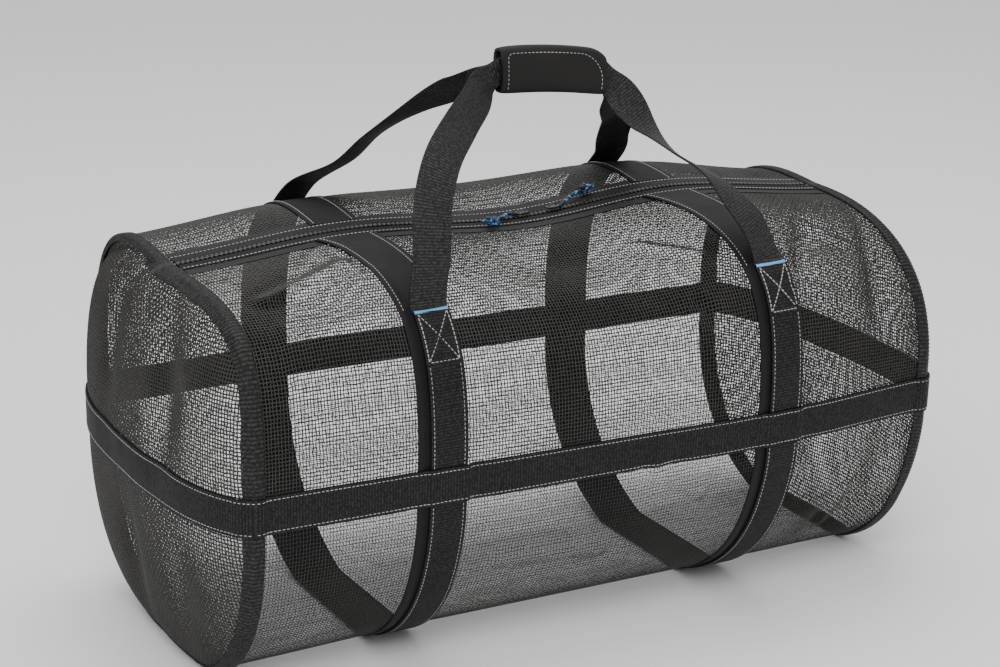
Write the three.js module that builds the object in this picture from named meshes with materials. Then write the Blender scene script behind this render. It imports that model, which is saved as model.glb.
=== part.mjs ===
import * as THREE from "three";

// A mesh duffel bag for dive gear, resting on a flat surface with its zipper closed and its handles up.
// Millimetres. X runs along the bag, -Y is the front, +Z is up, and the origin is the bottom centre.

// Body
const BODY_LENGTH = 760; // between the two end seams
const FRONT_DEPTH = 221; // mid plane to the front cloth at its widest
const BACK_DEPTH = 221; // mid plane to the back cloth at its widest
const BODY_HEIGHT = 404; // crown of the cloth above the resting face
const FRONT_WAIST = 232; // height of the widest line at the front
const BACK_WAIST = 188; // height of the widest line at the back
const BOTTOM_SINK = 12; // how far the round bottom is pressed flat
const LEFT_BULGE = 47; // how far the left end panel swells past its seam
const RIGHT_BULGE = 39;
const CLOTH = 1.4;

// Webbing and fabric trim
const WEBBING_WIDTH = 38;
const WEBBING = 2;
const STRIP = 1; // fabric strip under each vertical strap
const STRIP_LEFT_MARGIN = 13; // strip showing to the left of its strap
const STRIP_RIGHT_MARGIN = 1.5;
const STRIP_RAMP = 10; // the grid's steps beside a strip
const STRIP_FLARE = 14; // extra width of the strip's upper end at the front
const STRIP_FLARE_POWER = 5; // how suddenly it spreads
const STRAP_SPACING = 375;
const STRAP_SHIFT = 2.5; // both straps sit a little to the right of the middle
const BAND_HEIGHT = 205; // middle of the girth band
const TACK_DROP = 39; // crown down to the bar tack where a handle leaves its strap
const TACK_HEIGHT = BODY_HEIGHT - TACK_DROP;
const BINDING_WIDTH = 12;
const BINDING = 2.5;
const BINDING_OVERHANG = 2; // binding past the seam

// Zipper
const SLIT = 10; // opening between the two cloth edges
const TAPE_WIDTH = 17;
const TAPE = 1;
const CHAIN_HEIGHT = 3.2;
const SLIDER_LENGTH = 15;
const SLIDER_WIDTH = 11;
const SLIDER_HEIGHT = 4.5;
const SLIDER_GAP = 22; // between the two sliders, nose to nose
const SLIDERS_AT = 30; // middle of the pair along the bag
const PULL_CORD = 4;
const PULL_KNOT = 13;

// Handles and grip
const GRIP_LENGTH = 118;
const GRIP_HEIGHT = 47;
const GRIP_DEPTH = 23;
const GRIP_ACROSS = 8; // middle of the grip along the bag
const GRIP_FORWARD = 66; // middle of the grip in front of the mid plane
const GRIP_UP = 561; // middle of the grip above the resting face
const GRIP_ARCH = 3;
const GRIP_SLOPE = -0.1; // it hangs lower on the right
const GRIP_TAPER = 0.05; // how much slimmer its ends are
const GRIP_SLOT_CLEARANCE = 4.4; // either side of the two webbings
const GRIP_EDGE_CLEARANCE = 2.6; // over and under them
const GRIP_CORNER_FROM = 0.75; // its upper right corner is cut away from this share of its half length
const GRIP_CORNER = 0.2; // and by this share of its half height at the end
const GRIP_WALL = 2.5; // least cloth over the slot there
const GRIP_PART = 2; // how much further apart they are there than inside the grip
// The webbings' line through the grip: shares of its half length, and how far they hang below its middle.
const GRIP_LINE = [
  [-1.25, 8],
  [-1, 2],
  [-0.85, 0.6],
  [-0.4, 0],
  [0, 0],
  [0.4, 0],
  [0.85, 0.9],
  [1, 3],
  [1.25, 13],
];
const PINCH = 0.36; // share of their width that the webbings lose where they enter the grip
const PINCH_AT = 1.08; // shares of half the grip
const PINCH_SPAN = 0.22;
const FOOT_RISE = 9; // how far it runs on straight from its bar tack
const FOOT_LIFT = 0.08; // outward lean of a handle as it leaves its strap

const GAP = 0.4; // between neighbouring pieces
const SEAM = 0.3; // between the body cloth and an end panel

// Cross-sections of the body, as shares of the depths and the height. The upper and lower columns are
// the squareness of each quarter, 2 for an ellipse. The lift raises the crown behind the zipper.
const SECTIONS = [
  { along: -1, front: 0.97, back: 0.96, top: 0.965, upFront: 4.2, upBack: 3.5, low: 2.4, lift: 0.062 },
  { along: -0.5, front: 1.0, back: 0.99, top: 1.0, upFront: 3.2, upBack: 3.3, low: 2.2, lift: 0.085 },
  { along: 0, front: 1.02, back: 0.98, top: 0.972, upFront: 2.9, upBack: 3.3, low: 2.15, lift: 0.1 },
  { along: 0.5, front: 1.04, back: 0.96, top: 1.004, upFront: 3.3, upBack: 3.1, low: 2.15, lift: 0.09 },
  { along: 1, front: 0.95, back: 0.95, top: 0.958, upFront: 2.5, upBack: 2.8, low: 2.3, lift: 0.05 },
];

// Soft dents and swells of the cloth. Along is a share of half the length, angle is degrees above the
// widest line, the spans are their half widths, and depth is a share of the body height.
const DENTS = [
  { side: -1, along: -0.02, angle: 64, spanAlong: 0.24, spanAngle: 11, depth: -0.024 },
  { side: -1, along: -0.78, angle: 57, spanAlong: 0.12, spanAngle: 9, depth: -0.02 },
  { side: -1, along: -0.74, angle: 40, spanAlong: 0.14, spanAngle: 9, depth: 0.012 },
  { side: -1, along: 0.74, angle: 52, spanAlong: 0.1, spanAngle: 8, depth: -0.022 },
  { side: -1, along: 0.76, angle: 26, spanAlong: 0.12, spanAngle: 12, depth: 0.012 },
  { side: -1, along: 0.05, angle: 26, spanAlong: 0.3, spanAngle: 18, depth: 0.014 },
  { side: -1, along: 0.0, angle: -38, spanAlong: 0.32, spanAngle: 16, depth: 0.012 },
  { side: -1, along: 0.78, angle: -44, spanAlong: 0.1, spanAngle: 12, depth: -0.02 },
  { side: 1, along: 0.0, angle: 58, spanAlong: 0.26, spanAngle: 14, depth: 0.012 },
  { side: 1, along: -0.76, angle: 20, spanAlong: 0.12, spanAngle: 16, depth: -0.014 },
  { side: 1, along: 0.05, angle: 18, spanAlong: 0.22, spanAngle: 16, depth: -0.012 },
  { side: 1, along: 0.76, angle: 36, spanAlong: 0.12, spanAngle: 14, depth: 0.01 },
];
const BAND_CINCH = 3; // how far the girth band pulls the cloth in
const CINCH_SPAN = 24;
const STRAP_CINCH = 3;
const STRAP_CINCH_SPAN = 34;

// Creases of the end panels. Across runs from the front seam at 0 to the back seam at 1, up from the
// bottom at -1 to the top at 1, and depth is a share of the bulge.
const END_CREASES = [
  { across: 0.3, up: 0.5, spanAcross: 0.07, spanUp: 0.34, depth: -0.24 },
  { across: 0.66, up: 0.55, spanAcross: 0.06, spanUp: 0.3, depth: -0.2 },
  { across: 0.55, up: -0.5, spanAcross: 0.08, spanUp: 0.3, depth: -0.22 },
  { across: 0.2, up: -0.55, spanAcross: 0.07, spanUp: 0.25, depth: -0.16 },
];

// Legs of the two handles from their bar tack at 0 to the grip's end at 1, along each direction.
const LEGS = {
  frontLeft: [
    { across: 0.032, forward: 0.038, up: 0.293 },
    { across: 0.108, forward: 0.168, up: 0.526 },
    { across: 0.284, forward: 0.358, up: 0.706 },
    { across: 0.561, forward: 0.6, up: 0.833 },
    { across: 0.805, forward: 0.817, up: 0.917 },
  ],
  frontRight: [
    { across: 0.121, forward: 0.117, up: 0.245 },
    { across: 0.25, forward: 0.26, up: 0.387 },
    { across: 0.38, forward: 0.419, up: 0.511 },
    { across: 0.619, forward: 0.657, up: 0.635 },
    { across: 0.795, forward: 0.848, up: 0.788 },
  ],
  backLeft: [
    { across: 0.09, forward: 0.14, up: 0.23 },
    { across: 0.302, forward: 0.38, up: 0.426 },
    { across: 0.445, forward: 0.505, up: 0.597 },
    { across: 0.696, forward: 0.715, up: 0.808 },
    { across: 0.881, forward: 0.861, up: 0.928 },
  ],
  backRight: [
    { across: -0.01, forward: 0.17, up: 0.24 },
    { across: 0.241, forward: 0.4, up: 0.439 },
    { across: 0.435, forward: 0.595, up: 0.646 },
    { across: 0.813, forward: 0.856, up: 0.846 },
  ],
};

// Way that each leg's face turns, how far it turns that way, and the share of the leg where it has
// turned furthest.
const LEANS = {
  frontLeft: { way: [-0.2, 0, 0.5], share: 0.15, peak: 0.5 },
  frontRight: { way: [0.57, 0, 0.81], share: 0.85, peak: 0.6 },
  backLeft: { way: [-0.45, 0, 0.8], share: 0.5, peak: 0.5 },
  backRight: { way: [0.3, 0, 0.6], share: 0.2, peak: 0.5 },
};

// Fineness
const BAY_STEPS = { left: 4, middle: 6, right: 4 };
const UPPER_STEPS = 4; // between the zipper tape and the bar tack
const SHOULDER_STEPS = 4; // between the bar tack and the girth band
const LOWER_STEPS = 5; // between the girth band and the flat bottom
const END_STEPS = 9; // across an end panel
const HANDLE_STEPS = 54;
const GRIP_STEPS = 14;
const GRIP_SIDES = 20;
const CORD_SIDES = 8;

const FLOOR = 2 * GAP + STRIP + WEBBING; // cloth height over the resting face, on the straps
const FLAT_HALF = 74; // half width of the flat bottom
const BOTTOM_HALF = 25; // the two lowest rows of the grid

const V = (x, y, z) => new THREE.Vector3(x, y, z);
const lerp = (a, b, t) => a + (b - a) * t;
const radians = (degrees) => (degrees * Math.PI) / 180;
const bell = (x, span) => Math.exp(-((x / span) ** 2));

// Smooth value of one column of the section table at a share of half the length.
function sectionValue(column, along) {
  const step = 2 / (SECTIONS.length - 1);
  const place = Math.min(Math.max((along + 1) / step, 0), SECTIONS.length - 1.000001);
  const i = Math.floor(place);
  const t = place - i;
  const at = (k) => SECTIONS[Math.min(Math.max(k, 0), SECTIONS.length - 1)][column];
  const [a, b, c, d] = [at(i - 1), at(i), at(i + 1), at(i + 2)];
  return 0.5 * (2 * b + (c - a) * t + (2 * a - 5 * b + 4 * c - d) * t * t + (3 * b - a - 3 * c + d) * t ** 3);
}

function sectionAt(x, side) {
  const along = (2 * x) / BODY_LENGTH;
  const waist = side < 0 ? FRONT_WAIST : BACK_WAIST;
  return {
    along,
    waist,
    depth: side < 0 ? FRONT_DEPTH * sectionValue("front", along) : BACK_DEPTH * sectionValue("back", along),
    rise: BODY_HEIGHT * sectionValue("top", along) - waist,
    drop: waist - FLOOR + BOTTOM_SINK,
    high: sectionValue(side < 0 ? "upFront" : "upBack", along),
    low: sectionValue("low", along),
    lift: side < 0 ? 0 : BODY_HEIGHT * sectionValue("lift", along),
  };
}

// Angle on a section at a given height, or at a given distance from the mid plane.
function angleAtHeight(x, side, z) {
  const s = sectionAt(x, side);
  if (z >= s.waist) return Math.asin(((z - s.waist) / s.rise) ** (s.high / 2));
  return -Math.asin(((s.waist - z) / s.drop) ** (s.low / 2));
}
function angleAtDepth(x, side, y, upper) {
  const s = sectionAt(x, side);
  const angle = Math.acos((y / s.depth) ** ((upper ? s.high : s.low) / 2));
  return upper ? angle : -angle;
}

// Point of the cloth's outer face.
function bodyPoint(x, side, angle) {
  const s = sectionAt(x, side);
  const upper = angle >= 0;
  const power = 2 / (upper ? s.high : s.low);
  const out = Math.abs(Math.cos(angle)) ** power;
  const up = Math.abs(Math.sin(angle)) ** power;
  let y = side * s.depth * out;
  let z = s.waist + (upper ? s.rise : -s.drop) * up;
  if (upper) z += s.lift * Math.sin(angle) ** 2 * out;
  let push = 0;
  for (const d of DENTS) {
    if (d.side !== side) continue;
    const near = bell(s.along - d.along, d.spanAlong) * bell((angle * 180) / Math.PI - d.angle, d.spanAngle);
    push += BODY_HEIGHT * d.depth * near;
  }
  push -= BAND_CINCH * bell(z - BAND_HEIGHT, CINCH_SPAN) * out;
  for (const at of [leftStrap, rightStrap]) push -= STRAP_CINCH * bell(x - at, STRAP_CINCH_SPAN) * out;
  const reach = Math.hypot(y, z - s.waist);
  y += (push * y) / reach;
  z += (push * (z - s.waist)) / reach;
  return V(x, y, Math.max(z, FLOOR));
}

const leftStrap = STRAP_SHIFT - STRAP_SPACING / 2;
const rightStrap = STRAP_SHIFT + STRAP_SPACING / 2;
const halfLength = BODY_LENGTH / 2;

// Columns of the grid along the bag, with a name for each one that a piece ends on.
const columns = [];
const column = {};
function addColumn(x, name) {
  columns.push(x);
  if (name) column[name] = columns.length - 1;
}
function addBay(to, steps) {
  const from = columns[columns.length - 1];
  for (let i = 1; i < steps; i++) addColumn(lerp(from, to, i / steps));
}
function addStrap(at, name) {
  const left = at - WEBBING_WIDTH / 2;
  const right = at + WEBBING_WIDTH / 2;
  addColumn(left - STRIP_LEFT_MARGIN - STRIP_FLARE, name + "Flare");
  addColumn(left - STRIP_LEFT_MARGIN - STRIP_RAMP);
  addColumn(left - STRIP_LEFT_MARGIN, name + "StripLeft");
  addColumn(left, name + "Left");
  addColumn(right, name + "Right");
  addColumn(right + STRIP_RIGHT_MARGIN, name + "StripRight");
  addColumn(right + STRIP_RIGHT_MARGIN + STRIP_RAMP);
}
addColumn(-halfLength, "ringLeft");
addColumn(-halfLength + BINDING_WIDTH, "insideLeft");
addBay(leftStrap - WEBBING_WIDTH / 2 - STRIP_LEFT_MARGIN - STRIP_FLARE, BAY_STEPS.left);
addStrap(leftStrap, "a");
addBay(rightStrap - WEBBING_WIDTH / 2 - STRIP_LEFT_MARGIN - STRIP_FLARE, BAY_STEPS.middle);
addStrap(rightStrap, "b");
addBay(halfLength - BINDING_WIDTH, BAY_STEPS.right);
addColumn(halfLength - BINDING_WIDTH, "insideRight");
addColumn(halfLength, "ringRight");

// Angles of the grid's rows down one side of the section at x, from the zipper's edge to the bottom.
const row = {};
function anglesAt(x, side) {
  const angles = [];
  const to = (angle, steps, name) => {
    const from = angles[angles.length - 1];
    for (let i = 1; i < steps; i++) angles.push(lerp(from, angle, i / steps));
    angles.push(angle);
    row[name] = angles.length - 1;
  };
  to(angleAtDepth(x, side, SLIT / 2, true), 0, "slit");
  to(angleAtDepth(x, side, SLIT / 2 + TAPE_WIDTH, true), 1, "tape");
  to(angleAtHeight(x, side, TACK_HEIGHT), UPPER_STEPS, "tack");
  to(angleAtHeight(x, side, BAND_HEIGHT + WEBBING_WIDTH / 2), SHOULDER_STEPS, "bandTop");
  to(angleAtHeight(x, side, BAND_HEIGHT - WEBBING_WIDTH / 2), 1, "bandBottom");
  to(angleAtDepth(x, side, FLAT_HALF, false), LOWER_STEPS, "flat");
  to(angleAtDepth(x, side, BOTTOM_HALF, false), 1, "bottom");
  return angles;
}

// The grid of the body: rows run from the front edge of the slit round the bottom to its back edge.
const sideAngles = (side) => columns.map((x) => anglesAt(x, side));
const frontAngles = sideAngles(-1);
const backAngles = sideAngles(1);
const sideRows = row.bottom + 1;
const rowCount = 2 * sideRows;
const back = (j) => rowCount - 1 - j; // the back row that mirrors front row j
const points = [];
for (let j = 0; j < rowCount; j++) {
  const front = j < sideRows;
  points.push(
    columns.map((x, i) =>
      front ? bodyPoint(x, -1, frontAngles[i][j]) : bodyPoint(x, 1, backAngles[i][back(j)]),
    ),
  );
}

// Outward normals of a grid of points whose rows run down the front and columns to the right.
function normalsOf(grid) {
  const last = (list) => list.length - 1;
  return grid.map((line, j) =>
    line.map((p, i) => {
      const down = grid[Math.min(j + 1, last(grid))][i].clone().sub(grid[Math.max(j - 1, 0)][i]);
      const right = line[Math.min(i + 1, last(line))].clone().sub(line[Math.max(i - 1, 0)]);
      return down.cross(right).normalize();
    }),
  );
}
const normals = normalsOf(points);
for (const line of normals) {
  for (const i of [column.ringLeft, column.ringRight]) line[i].setX(0).normalize();
}

// A point of the grid between two columns, raised off the cloth.
function at(j, place, raise) {
  const i = Math.min(Math.floor(place), columns.length - 2);
  const t = place - i;
  const p = points[j][i].clone().lerp(points[j][i + 1], t);
  const n = normals[j][i].clone().lerp(normals[j][i + 1], t).normalize();
  return p.addScaledVector(n, raise);
}
const placeOf = (x) => {
  const i = columns.findIndex((c, k) => k < columns.length - 1 && x <= columns[k + 1]);
  return i + (x - columns[i]) / (columns[i + 1] - columns[i]);
};
const range = (from, to) => Array.from({ length: to - from + 1 }, (_, k) => from + k);

// A closed solid between two faces given as rows of { low, high } points. With closed, the last row
// joins the first. With flip, the rows run the other way round.
function slab(rows, { closed = false, flip = false } = {}) {
  const width = rows[0].length;
  const index = (r, c) => (r % rows.length) * width + c;
  const top = [];
  for (let r = 0; r < rows.length - (closed ? 0 : 1); r++) {
    for (let c = 0; c < width - 1; c++) {
      const quad = [index(r, c), index(r + 1, c), index(r + 1, c + 1), index(r, c + 1)];
      top.push([quad[0], quad[1], quad[3]], [quad[1], quad[2], quad[3]]);
    }
  }
  if (flip) top.forEach((t) => t.reverse());
  const count = rows.length * width;
  const edges = new Set();
  top.forEach((t) => t.forEach((a, k) => edges.add(a + "," + t[(k + 1) % 3])));
  const faces = [...top];
  top.forEach(([a, b, c]) => faces.push([c + count, b + count, a + count]));
  top.forEach((t) =>
    t.forEach((a, k) => {
      const b = t[(k + 1) % 3];
      if (edges.has(b + "," + a)) return;
      faces.push([b, a, a + count], [b, a + count, b + count]);
    }),
  );
  const flat = rows.flat();
  const vertices = [...flat.map((q) => q.high), ...flat.map((q) => q.low)];
  const geometry = new THREE.BufferGeometry();
  const positions = vertices.flatMap((v) => [v.x, v.y, v.z]);
  geometry.setAttribute("position", new THREE.Float32BufferAttribute(positions, 3));
  geometry.setIndex(faces.flat());
  return geometry;
}

// A layer of the grid between two heights over the cloth.
const layer = (rowList, placeList, low, high) =>
  slab(rowList.map((j) => placeList.map((i) => ({ low: at(j, i, low), high: at(j, i, high) }))));

const allColumns = range(0, columns.length - 1);
const upperFront = () => layer(range(row.slit, row.bandTop), allColumns, -CLOTH, 0);
const upperBack = () => layer(range(back(row.bandTop), back(row.slit)), allColumns, -CLOTH, 0);

// The lower body starts a gap below the upper panels, under the girth band.
function lowerBody() {
  const share = GAP / WEBBING_WIDTH;
  const edge = (from, to) =>
    allColumns.map((i) => ({
      low: at(from, i, -CLOTH).lerp(at(to, i, -CLOTH), share),
      high: at(from, i, 0).lerp(at(to, i, 0), share),
    }));
  const inner = range(row.bandBottom, back(row.bandBottom)).map((j) =>
    allColumns.map((i) => ({ low: at(j, i, -CLOTH), high: at(j, i, 0) })),
  );
  const first = edge(row.bandTop, row.bandBottom);
  const last = edge(back(row.bandTop), back(row.bandBottom));
  return slab([first, ...inner, last]);
}

// The strip under a strap. Its left edge spreads out towards the zipper at the front.
function strip(name) {
  const flareEnd = row.tack;
  const edge = columns[column[name + "StripLeft"]];
  const rows = range(row.tape, back(row.tape)).map((j) => {
    const near = j < flareEnd ? (flareEnd - j) / (flareEnd - row.tape) : 0;
    const left = placeOf(edge - STRIP_FLARE * near ** STRIP_FLARE_POWER);
    const places = [left, column[name + "Left"], column[name + "Right"], column[name + "StripRight"]];
    return places.map((i, k) => {
      const lift = k === 0 ? GAP * (1 + 2 * near) : GAP;
      return { low: at(j, i, lift), high: at(j, i, lift + STRIP) };
    });
  });
  return slab(rows);
}

const strapLow = 2 * GAP + STRIP;
const strap = (name) =>
  layer(
    range(row.tack, back(row.tack)),
    [column[name + "Left"], column[name + "Right"]],
    strapLow,
    strapLow + WEBBING,
  );

// Point grid of an end panel: rows run down, columns from the front seam to the back seam.
function endGrid(side) {
  const ring = side < 0 ? column.ringLeft : column.ringRight;
  const top = points[0][ring].z;
  const bottom = points[row.bottom][ring].z;
  return range(0, sideRows - 1).map((j) => {
    const front = points[j][ring];
    const behind = points[back(j)][ring];
    return range(0, END_STEPS).map((k) => {
      const across = k / END_STEPS;
      const p = front.clone().lerp(behind, across);
      const up = Math.min(Math.max((2 * (p.z - bottom)) / (top - bottom) - 1, -1), 1);
      const rim = j === 0 || j === sideRows - 1 || k === 0 || k === END_STEPS;
      const dome = (v) => (1 - Math.abs(v) ** 2.6) ** 0.6;
      let bulge = rim ? 0 : dome(2 * across - 1) * dome(up * 0.985);
      for (const c of END_CREASES) {
        if (rim) break;
        bulge += c.depth * bell(across - c.across, c.spanAcross) * bell(up - c.up, c.spanUp);
      }
      bulge *= side < 0 ? LEFT_BULGE : RIGHT_BULGE;
      p.x += side * (SEAM + Math.max(bulge, 0));
      return p;
    });
  });
}
function endNormals(grid, side) {
  const ring = side < 0 ? column.ringLeft : column.ringRight;
  const list = normalsOf(grid);
  list.forEach((line, j) =>
    line.forEach((n, k) => {
      if (side > 0) n.negate();
      n.negate();
      if (k === 0) n.copy(normals[j][ring]);
      else if (k === END_STEPS) n.copy(normals[back(j)][ring]);
      else if (j === 0) n.set(0, 0, 1);
      else if (j === sideRows - 1) n.set(0, 0, -1);
    }),
  );
  return list;
}
const ends = [-1, 1].map((side) => {
  const grid = endGrid(side);
  return { side, grid, normals: endNormals(grid, side) };
});
const endPoint = (end, j, k, raise) => end.grid[j][k].clone().addScaledVector(end.normals[j][k], raise);
function endPanel(end) {
  const rows = end.grid.map((line, j) =>
    line.map((_, k) => ({ low: endPoint(end, j, k, -CLOTH), high: endPoint(end, j, k, 0) })),
  );
  if (end.side < 0) rows.forEach((line) => line.reverse());
  return slab(rows);
}

// The binding over an end seam, a closed ring that bridges the end of the slit.
function binding(side) {
  const ring = side < 0 ? column.ringLeft : column.ringRight;
  const inside = side < 0 ? column.insideLeft : column.insideRight;
  const rows = range(0, rowCount - 1).map((j) => {
    const edge = [ring, inside].map((i, k) => {
      const over = k === 0 ? side * BINDING_OVERHANG : 0;
      return {
        low: at(j, i, GAP).add(V(over, 0, 0)),
        high: at(j, i, GAP + BINDING).add(V(over, 0, 0)),
      };
    });
    return side < 0 ? edge : edge.reverse();
  });
  return slab(rows, { closed: true });
}

// The girth band is one loop of upright columns: front, right end, back and left end.
function girthBand() {
  const plain = GAP;
  const overStrap = strapLow + WEBBING + GAP;
  const overBinding = 2 * GAP + BINDING;
  const pair = (make) => [make(row.bandTop), make(row.bandBottom)];
  const raiseAt = (i) => {
    for (const name of ["a", "b"]) {
      if (i >= column[name + "StripLeft"] && i <= column[name + "StripRight"]) return overStrap;
    }
    return i === column.insideLeft || i === column.insideRight ? overBinding : plain;
  };
  const body = (i, behind) =>
    pair((j) => {
      const r = behind ? back(j) : j;
      return { low: at(r, i, raiseAt(i)), high: at(r, i, raiseAt(i) + WEBBING) };
    });
  const corner = (side, behind) =>
    pair((j) => {
      const r = behind ? back(j) : j;
      const ring = side < 0 ? column.ringLeft : column.ringRight;
      const past = BINDING_OVERHANG + GAP;
      return {
        low: at(r, ring, overBinding).add(V(side * past, 0, 0)),
        high: at(r, ring, overBinding + WEBBING).add(V(side * (past + WEBBING), 0, 0)),
      };
    });
  const across = (end, order) =>
    order.map((k) =>
      pair((j) => ({ low: endPoint(end, j, k, plain), high: endPoint(end, j, k, plain + WEBBING) })),
    );
  const inner = range(1, END_STEPS - 1);
  const between = range(column.insideLeft, column.insideRight);
  return slab(
    [
      ...between.map((i) => body(i, false)),
      corner(1, false),
      ...across(ends[1], inner),
      corner(1, true),
      ...[...between].reverse().map((i) => body(i, true)),
      corner(-1, true),
      ...across(ends[0], [...inner].reverse()),
      corner(-1, false),
    ],
    { closed: true, flip: true },
  );
}

// One side of the zipper tape, from the slit's edge outwards, clear of the bindings and the strips.
function tape(behind) {
  const outer = 1 - GAP / TAPE_WIDTH;
  const rows = behind ? [back(row.tape), back(row.slit)] : [row.slit, row.tape];
  const first = columns[column.insideLeft] + GAP;
  const last = columns[column.insideRight] - GAP;
  const inner = range(column.insideLeft + 1, column.insideRight - 1);
  const places = [placeOf(first), ...inner, placeOf(last)];
  const pick = (j, i, raise) => {
    const edge = behind ? back(row.slit) : row.slit;
    return at(edge, i, raise).lerp(at(j, i, raise), j === edge ? 0 : outer);
  };
  return slab(
    rows.map((j) => places.map((i) => ({ low: pick(j, i, GAP), high: pick(j, i, GAP + TAPE) }))),
  );
}

// Middle of the slit at a place along the bag.
const slitMiddle = (place) => at(row.slit, place, 0).lerp(at(back(row.slit), place, 0), 0.5);
function chain() {
  const half = SLIT / 2 - GAP;
  const low = -CLOTH;
  const first = placeOf(columns[column.insideLeft] + GAP);
  const last = placeOf(columns[column.insideRight] - GAP);
  const places = [first, ...range(column.insideLeft + 1, column.insideRight - 1), last];
  return slab(
    [half, -half].map((y) =>
      places.map((i) => {
        const middle = slitMiddle(i);
        return {
          low: V(middle.x, y, middle.z + low),
          high: V(middle.x, y, middle.z + low + CHAIN_HEIGHT),
        };
      }),
    ),
  );
}

// A slider: a wedge with a round nose, lying over the teeth and pointing away from its twin.
const sliderSeat = GAP + CHAIN_HEIGHT - CLOTH;
const sliderX = (side) => SLIDERS_AT + side * (SLIDER_GAP / 2 + SLIDER_LENGTH / 2);
function slider() {
  const shape = new THREE.Shape();
  const half = SLIDER_WIDTH / 2;
  const neck = half * 0.62;
  shape.moveTo(-SLIDER_LENGTH / 2, -neck);
  shape.lineTo(SLIDER_LENGTH / 2 - half, -half);
  shape.absarc(SLIDER_LENGTH / 2 - half, 0, half, -Math.PI / 2, Math.PI / 2, false);
  shape.lineTo(-SLIDER_LENGTH / 2, neck);
  shape.closePath();
  const bevel = 0.9;
  return new THREE.ExtrudeGeometry(shape, {
    depth: SLIDER_HEIGHT - 2 * bevel,
    bevelEnabled: true,
    bevelThickness: bevel,
    bevelSize: bevel,
    bevelOffset: -bevel,
    bevelSegments: 1,
    curveSegments: 6,
  }).translate(0, 0, bevel);
}
const slope = (x) => {
  const step = 12;
  const a = slitMiddle(placeOf(x - step));
  const b = slitMiddle(placeOf(x + step));
  return Math.atan2(b.z - a.z, b.x - a.x);
};

// The pull cords' routes from their sliders, in millimetres from the slider's tail.
const PULL_ROUTES = {
  left: [V(0, 0, 0), V(-6, -2, 2.4), V(-13, -7, 3.4), V(-20, -12, 3), V(-27, -17, 3), V(-34, -22, 3.4)],
  right: [V(0, 0, 0), V(6, 2, 3.4), V(13, 6, 6), V(20, 10, 7.4), V(27, 13, 8.4), V(34, 16, 9.4)],
};
const pullStart = (side) => {
  const x = sliderX(side) + side * (SLIDER_LENGTH / 2 + 2 * GAP);
  const middle = slitMiddle(placeOf(x));
  return middle.add(V(0, 0, sliderSeat + SLIDER_HEIGHT / 2));
};
const pullCurve = (side) => {
  const start = pullStart(side);
  const route = side < 0 ? PULL_ROUTES.left : PULL_ROUTES.right;
  return new THREE.CatmullRomCurve3(route.map((p) => p.clone().add(start)));
};
function pullCord(side) {
  const section = new THREE.Shape();
  section.absarc(0, 0, PULL_CORD / 2, 0, 2 * Math.PI, false);
  return new THREE.ExtrudeGeometry(section, {
    steps: 8,
    extrudePath: pullCurve(side),
    curveSegments: CORD_SIDES / 2,
  });
}
function pullKnot(side) {
  const curve = pullCurve(side);
  const end = curve.getPoint(1);
  const way = curve.getTangent(1);
  const middle = end.addScaledVector(way, PULL_KNOT / 2 + GAP);
  const squash = 0.86;
  return new THREE.SphereGeometry(PULL_KNOT / 2, 12, 8)
    .scale(1, squash, squash)
    .translate(middle.x, middle.y, middle.z);
}

// The grip's middle line, a low arch.
const gripHalf = GRIP_LENGTH / 2;
const gripPoint = (x, forward) =>
  V(GRIP_ACROSS + x, -GRIP_FORWARD + forward, GRIP_UP + GRIP_SLOPE * x - GRIP_ARCH * (x / gripHalf) ** 2);

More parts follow.
